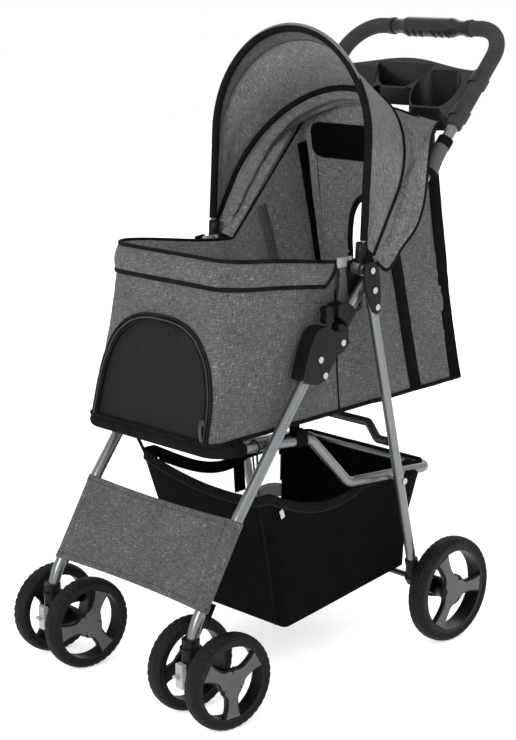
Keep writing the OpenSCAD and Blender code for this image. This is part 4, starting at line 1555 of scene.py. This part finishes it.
def basket_straps():
    """Loops of webbing round the seat frame, which carry the cabin's floor and the basket."""
    parts = []
    for side in (1, -1):
        for y, width in ((-98 * MM, 22 * MM), (-232 * MM, 20 * MM)):
            x, z = seat_tube_at(y)
            r = SEAT_R + 1.6 * MM
            path = []
            for k in range(17):
                a = math.radians(lerp(180, 360, k / 16))
                path.append(Vector((side * (x + r * math.cos(a)), y, z + r * math.sin(a))))
            top = 404 * MM
            path = [Vector((side * (x - r), y, top))] + path
            path.append(Vector((side * (x + r * 0.6), y, z + 12 * MM)))
            path.append(Vector((side * (x - r * 0.4), y, z + 18 * MM)))
            normals = []
            for p in path:
                n = Vector((p.x - side * x, 0, min(p.z - z, 4 * MM)))
                normals.append(n.normalized() if n.length else Vector((0, 0, 1)))
            parts.append(sweep(path, strap_profile(width, 1.6 * MM), normals))
    joined("seat_tube_loops", parts, "webbing", "seat_frame", "black_fabric")

    parts = []
    for y, low in ((32 * MM, 215 * MM),):
        x, z = seat_tube_at(y)
        face = -BASKET_WALL + 6 * MM
        path = smooth_path([
            (face - 4 * MM, y - 8 * MM, 392 * MM), (face + 1 * MM, y - 4 * MM, 340 * MM),
            (face + 2 * MM, y, 285 * MM), (face + 4 * MM, y + 3 * MM, low)
        ], 8 * MM)
        parts.append(sweep(path, strap_profile(25 * MM, 1.6 * MM), [Vector((1, 0, 0))] * len(path)))
    hung = joined("hanging_strap", parts, "webbing", "seat_frame", "black_fabric")
    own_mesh(hung)

    parts = []
    for side in (1, -1):
        corner = basket_point(side * basket_corner(), 1.0)
        x, z = seat_tube_at(-190 * MM)
        top = Vector((side * (x - 2 * MM), -190 * MM, z))
        loop = [
            top + Vector((side * 10 * MM * math.cos(a), 0, 10 * MM * math.sin(a)))
            for a in [math.radians(d) for d in range(-60, 241, 20)]
        ]
        middle = corner.lerp(loop[0], 0.5) + Vector((side * 1 * MM, 0, 0))
        path = smooth_path([corner, middle, loop[0]], 6 * MM)
        parts.append(sweep(path, round_profile(1.5 * MM, 8)))
        parts.append(sweep(loop, round_profile(1.5 * MM, 8)))
        back = smooth_path([loop[-1], corner.lerp(loop[-1], 0.5), corner + Vector((0, 3 * MM, 0))], 6 * MM)
        parts.append(sweep(back, round_profile(1.5 * MM, 8)))
    cords = joined("basket_corner_loops", parts, "cord", "seat_frame", "black_fabric")
    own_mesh(cords)

    # Cloth sleeves hold the basket's rear corners on the seat frame
    parts = []
    for side in (1, -1):
        x = side * (span("seat_tube", 0)[1] - SEAT_R)
        rear_y, rear_z = 192.5 * MM, 280 * MM
        bend = 34 * MM
        path = []
        for k in range(-2, 11):
            a = math.radians(9 * max(k, 0))
            centre = Vector((x - side * bend, rear_y - bend, rear_z))
            p = centre + Vector((side * bend * math.cos(a), bend * math.sin(a), 0.0))
            if k < 0:
                p = p + Vector((0, 9 * MM * k, -0.7 * MM * k))
            path.append(p)
        parts.append(sweep(path, round_profile(SEAT_R + 1.8 * MM, 20)))
    joined("basket_rear_sleeves", parts, "black", "seat_frame", "black_fabric")


# ---- Small soft parts and fittings ----

def arm_sleeves():
    """Cloth sleeves that hold the cabin's rear corners on the handle arms."""
    for side, name in ((1, "left"), (-1, "right")):
        def ring_path(first, last, steps):
            points = []
            for k in range(steps + 1):
                y, z = on_handle(lerp(first, last, k / steps))
                points.append(Vector((side * ARM_X, y, z)))
            return points
        path = ring_path(224 * MM, 276 * MM, 16)
        verts, faces, coords = sweep(path, round_profile(1.0, 28), [Vector((side, 0, 0))] * len(path))
        shaped = []
        for i, v in enumerate(verts):
            k = i // 28
            centre = path[k]
            t = k / (len(path) - 1)
            flare = lerp(15.5 * MM, 11.6 * MM, ease(t))
            wave = 1 + 0.05 * ripple(v * 0.01 + Vector((0, t, 0)), 0.35, 3.0)
            shaped.append(centre + (v - centre) * flare * wave)
        sleeve = place("arm_sleeve_" + name, mesh_from("arm_sleeve_" + name, shaped, faces, coords),
                       "handle", "grey_fabric", "grey")
        sleeve.data.update()
        band = ring_path(274 * MM, 289 * MM, 6)
        swept("arm_sleeve_band_" + name, band, round_profile(12.6 * MM, 28), "piping", "handle",
              "grey_fabric", normals=[Vector((side, 0, 0))] * len(band))
        foot = ring_path(219 * MM, 226 * MM, 4)
        swept("arm_sleeve_foot_" + name, foot, round_profile(16.0 * MM, 28), "piping", "handle",
              "grey_fabric", normals=[Vector((side, 0, 0))] * len(foot))


def rim_clips():
    """Translucent buckles that hold the rim to the frame, and the straps that hang below them."""
    for side, name in ((1, "left"), (-1, "right")):
        x = side * (CABIN_HALF + 4.2 * MM)
        parts = []
        for y, width in ((-10 * MM, 24 * MM), (7 * MM, 9 * MM)):
            path = [Vector((x, y, z * MM)) for z in (641, 644, 649, 654, 656)]
            parts.append(sweep(path, strap_profile(width, 5.5 * MM), [Vector((side, 0, 0))] * 5))
        clip = joined("rim_clip_" + name, parts, "clear", None, "lock_plastic")
        on_seat(clip)
        path = smooth_path([
            (x + side * 1 * MM, -9 * MM, 641 * MM), (x + side * 2.0 * MM, -9 * MM, 628 * MM),
            (x + side * 1.0 * MM, -10 * MM, 605 * MM), (x - side * 1.5 * MM, -9 * MM, 572 * MM)
        ], 5 * MM)
        on_seat(swept(
            "rim_strap_" + name, path, strap_profile(19 * MM, 2.2 * MM), "facing", None, "black_fabric",
            normals=[Vector((side, 0, 0))] * len(path)
        ))


def grip_ridges():
    """Three leaf-shaped finger ridges in each half of the moulded centre grip."""
    low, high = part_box("centre_grip")
    centre_y, centre_z = (low[1] + high[1]) / 2, (low[2] + high[2]) / 2
    radius = (high[2] - low[2]) / 2
    parts = []
    for k in range(-3, 4):
        if k == 0:
            continue
        x0 = k * 14 * MM
        leaf = []
        for i in range(9):
            t = i / 8
            a = math.radians(lerp(196, 262, t))
            width = 4.6 * MM * math.sin(math.pi * t) + 0.5 * MM
            lean = 3 * MM * (t - 0.5) * (1 if k > 0 else -1)
            leaf.append((a, width, x0 + lean))
        path, normals = [], []
        for a, width, x in leaf:
            n = Vector((0, math.cos(a), math.sin(a)))
            normals.append(n)
            path.append(Vector((x, centre_y, centre_z)) + n * (radius - 0.2 * MM))
        verts, faces, coords = sweep(path, round_profile(1.0, 12), normals)
        shaped = []
        for i, v in enumerate(verts):
            q, (_, width, _) = path[i // 12], leaf[i // 12]
            d = v - q
            n = normals[i // 12]
            up = d.dot(n)
            shaped.append(q + (d - n * up) * width + n * up * 1.5 * MM)
        parts.append((shaped, faces, coords))
    joined("grip_ridges", parts, "plastic", "handle", "black_plastic")


# ---- Tyres ----

def tyre(node, body, joint):
    """A tyre with rounded shoulders and shallow tread blocks on the axle of a wheel joint."""
    centre = Vector(JOINTS[joint]["pos_m"])
    axle = Vector(JOINTS[joint]["axis"]).normalized()
    if abs(axle.x) < 0.5:
        raise ValueError(joint)
    low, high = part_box(node)
    radius = (high[2] - low[2]) / 2
    middle = Vector([(a + b) / 2 for a, b in zip(low, high)])
    centre = centre + axle * (middle - centre).dot(axle)
    wide = (high[0] - low[0]) / abs(axle.x) if "rear" in node else 30 * MM
    half = wide / 2 - 0.2 * MM
    inner = radius * (0.80 if "rear" in node else 0.775)
    up = Vector((0, 0, 1))
    forward = axle.cross(up).normalized()
    blocks = 44 if "rear" in node else 38
    around = blocks * 8
    section = 30
    verts, coords = [], []
    for i in range(around):
        a = 2 * math.pi * i / around
        direction = up * math.cos(a) + forward * math.sin(a)
        for k in range(section + 1):
            s = 2 * k / section - 1
            side = abs(s)
            if side > 0.86:
                t = (side - 0.86) / 0.14
                x, r = half * lerp(0.93, 0.80, t), lerp(inner + 5 * MM, inner, t)
            else:
                t = side / 0.86
                angle = t * math.pi / 2
                x = half * math.sin(angle) ** 0.92
                r = lerp(inner + 5 * MM, radius, math.cos(angle) ** 0.55)
            x = math.copysign(x, s)
            phase = (blocks * i / around + (0.5 if s > 0 else 0)) % 1
            cut = 1 if phase < 0.26 else 0
            if 0.30 < side < 0.66:
                r -= 1.3 * MM * cut
            if side < 0.05 or 0.24 < side < 0.29:
                r -= 0.9 * MM
            verts.append(centre + axle * x + direction * r)
            coords.append((a * radius, s * half))
    faces = []
    n = section + 1
    for i in range(around):
        j = (i + 1) % around
        for k in range(section):
            faces.append((i * n + k, j * n + k, j * n + k + 1, i * n + k + 1))
        faces.append((i * n + section, j * n + section, j * n, i * n))
    name = node.replace("tyre", "tread")
    piece = place(name, mesh_from(name, verts, faces, coords), body, "tyre", "tyre")
    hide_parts(node)


# ---- CAD nodes ----

FINISHES = {
    "handle_tube": "tube", "front_leg": "tube", "rear_leg": "tube", "rear_cross_tube": "dark_steel",
    "seat_tube": "tube", "canopy_bow": "tube", "foam_sleeves": "foam", "centre_grip": "grip",
    "tray": "tray", "rivets": "chrome", "axle_rod": "dark_steel", "front_axle": "dark_steel",
    "axle_caps": "plastic", "swivel_lock": "lock", "rim": "rim", "insert": "insert",
    "floor_board": "board"
}
SOFT_EDGES = ("tray", "latch_shell", "latch_bracket", "latch_hook", "hinge_bracket", "axle_bracket",
              "caster_fork", "caster_sockets", "swivel_lock", "brake_pedal", "insert", "rim")


def finish_nodes():
    for name in frame["nodes"]:
        node = bpy.data.objects.get(name)
        if node is None or node.type != "MESH":
            continue
        key = next((v for k, v in FINISHES.items() if k in name), "plastic")
        for slot in node.material_slots:
            slot.material = MATERIALS[key]
        if any(word in name for word in SOFT_EDGES):
            soften(node, 0.9 * MM if "rim" in name or "insert" in name else 1.3 * MM)


def soften(node, width):
    """Rounds a moulded part's edges with modifiers, without touching its mesh."""
    weld = node.modifiers.new("weld", "WELD")
    weld.merge_threshold = 0.00001
    flat = node.modifiers.new("flat", "DECIMATE")
    flat.decimate_type = "DISSOLVE"
    flat.angle_limit = math.radians(1.5)
    bevel = node.modifiers.new("soft_edges", "BEVEL")
    bevel.width = width
    bevel.segments = 3
    bevel.limit_method = "ANGLE"
    bevel.angle_limit = math.radians(38)
    bevel.harden_normals = False
    normals = node.modifiers.new("normals", "WEIGHTED_NORMAL")
    normals.keep_sharp = True


# ---- The whole stroller ----

add_camera()
add_studio()
walls = cabin_walls()
on_seat(walls)
cabin_collar()
rim_piping()
bottom_piping()
side_seams()
under_cloth()
front_window()
rear_doorway()
cabin_inside()
rim_clips()
canopy()
footrest()
basket()
seat_sleeve()
basket_straps()
arm_sleeves()
grip_ridges()
for wheel in [n for n in frame["nodes"] if "tyre" in n]:
    part = wheel.replace("front_tyre_", "wheel_front_").replace("rear_tyre_", "wheel_rear_")
    tyre(wheel, part, part)
finish_nodes()

for piece in SOFT_SEAT:
    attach(piece, "seat_frame")
    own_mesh(piece)
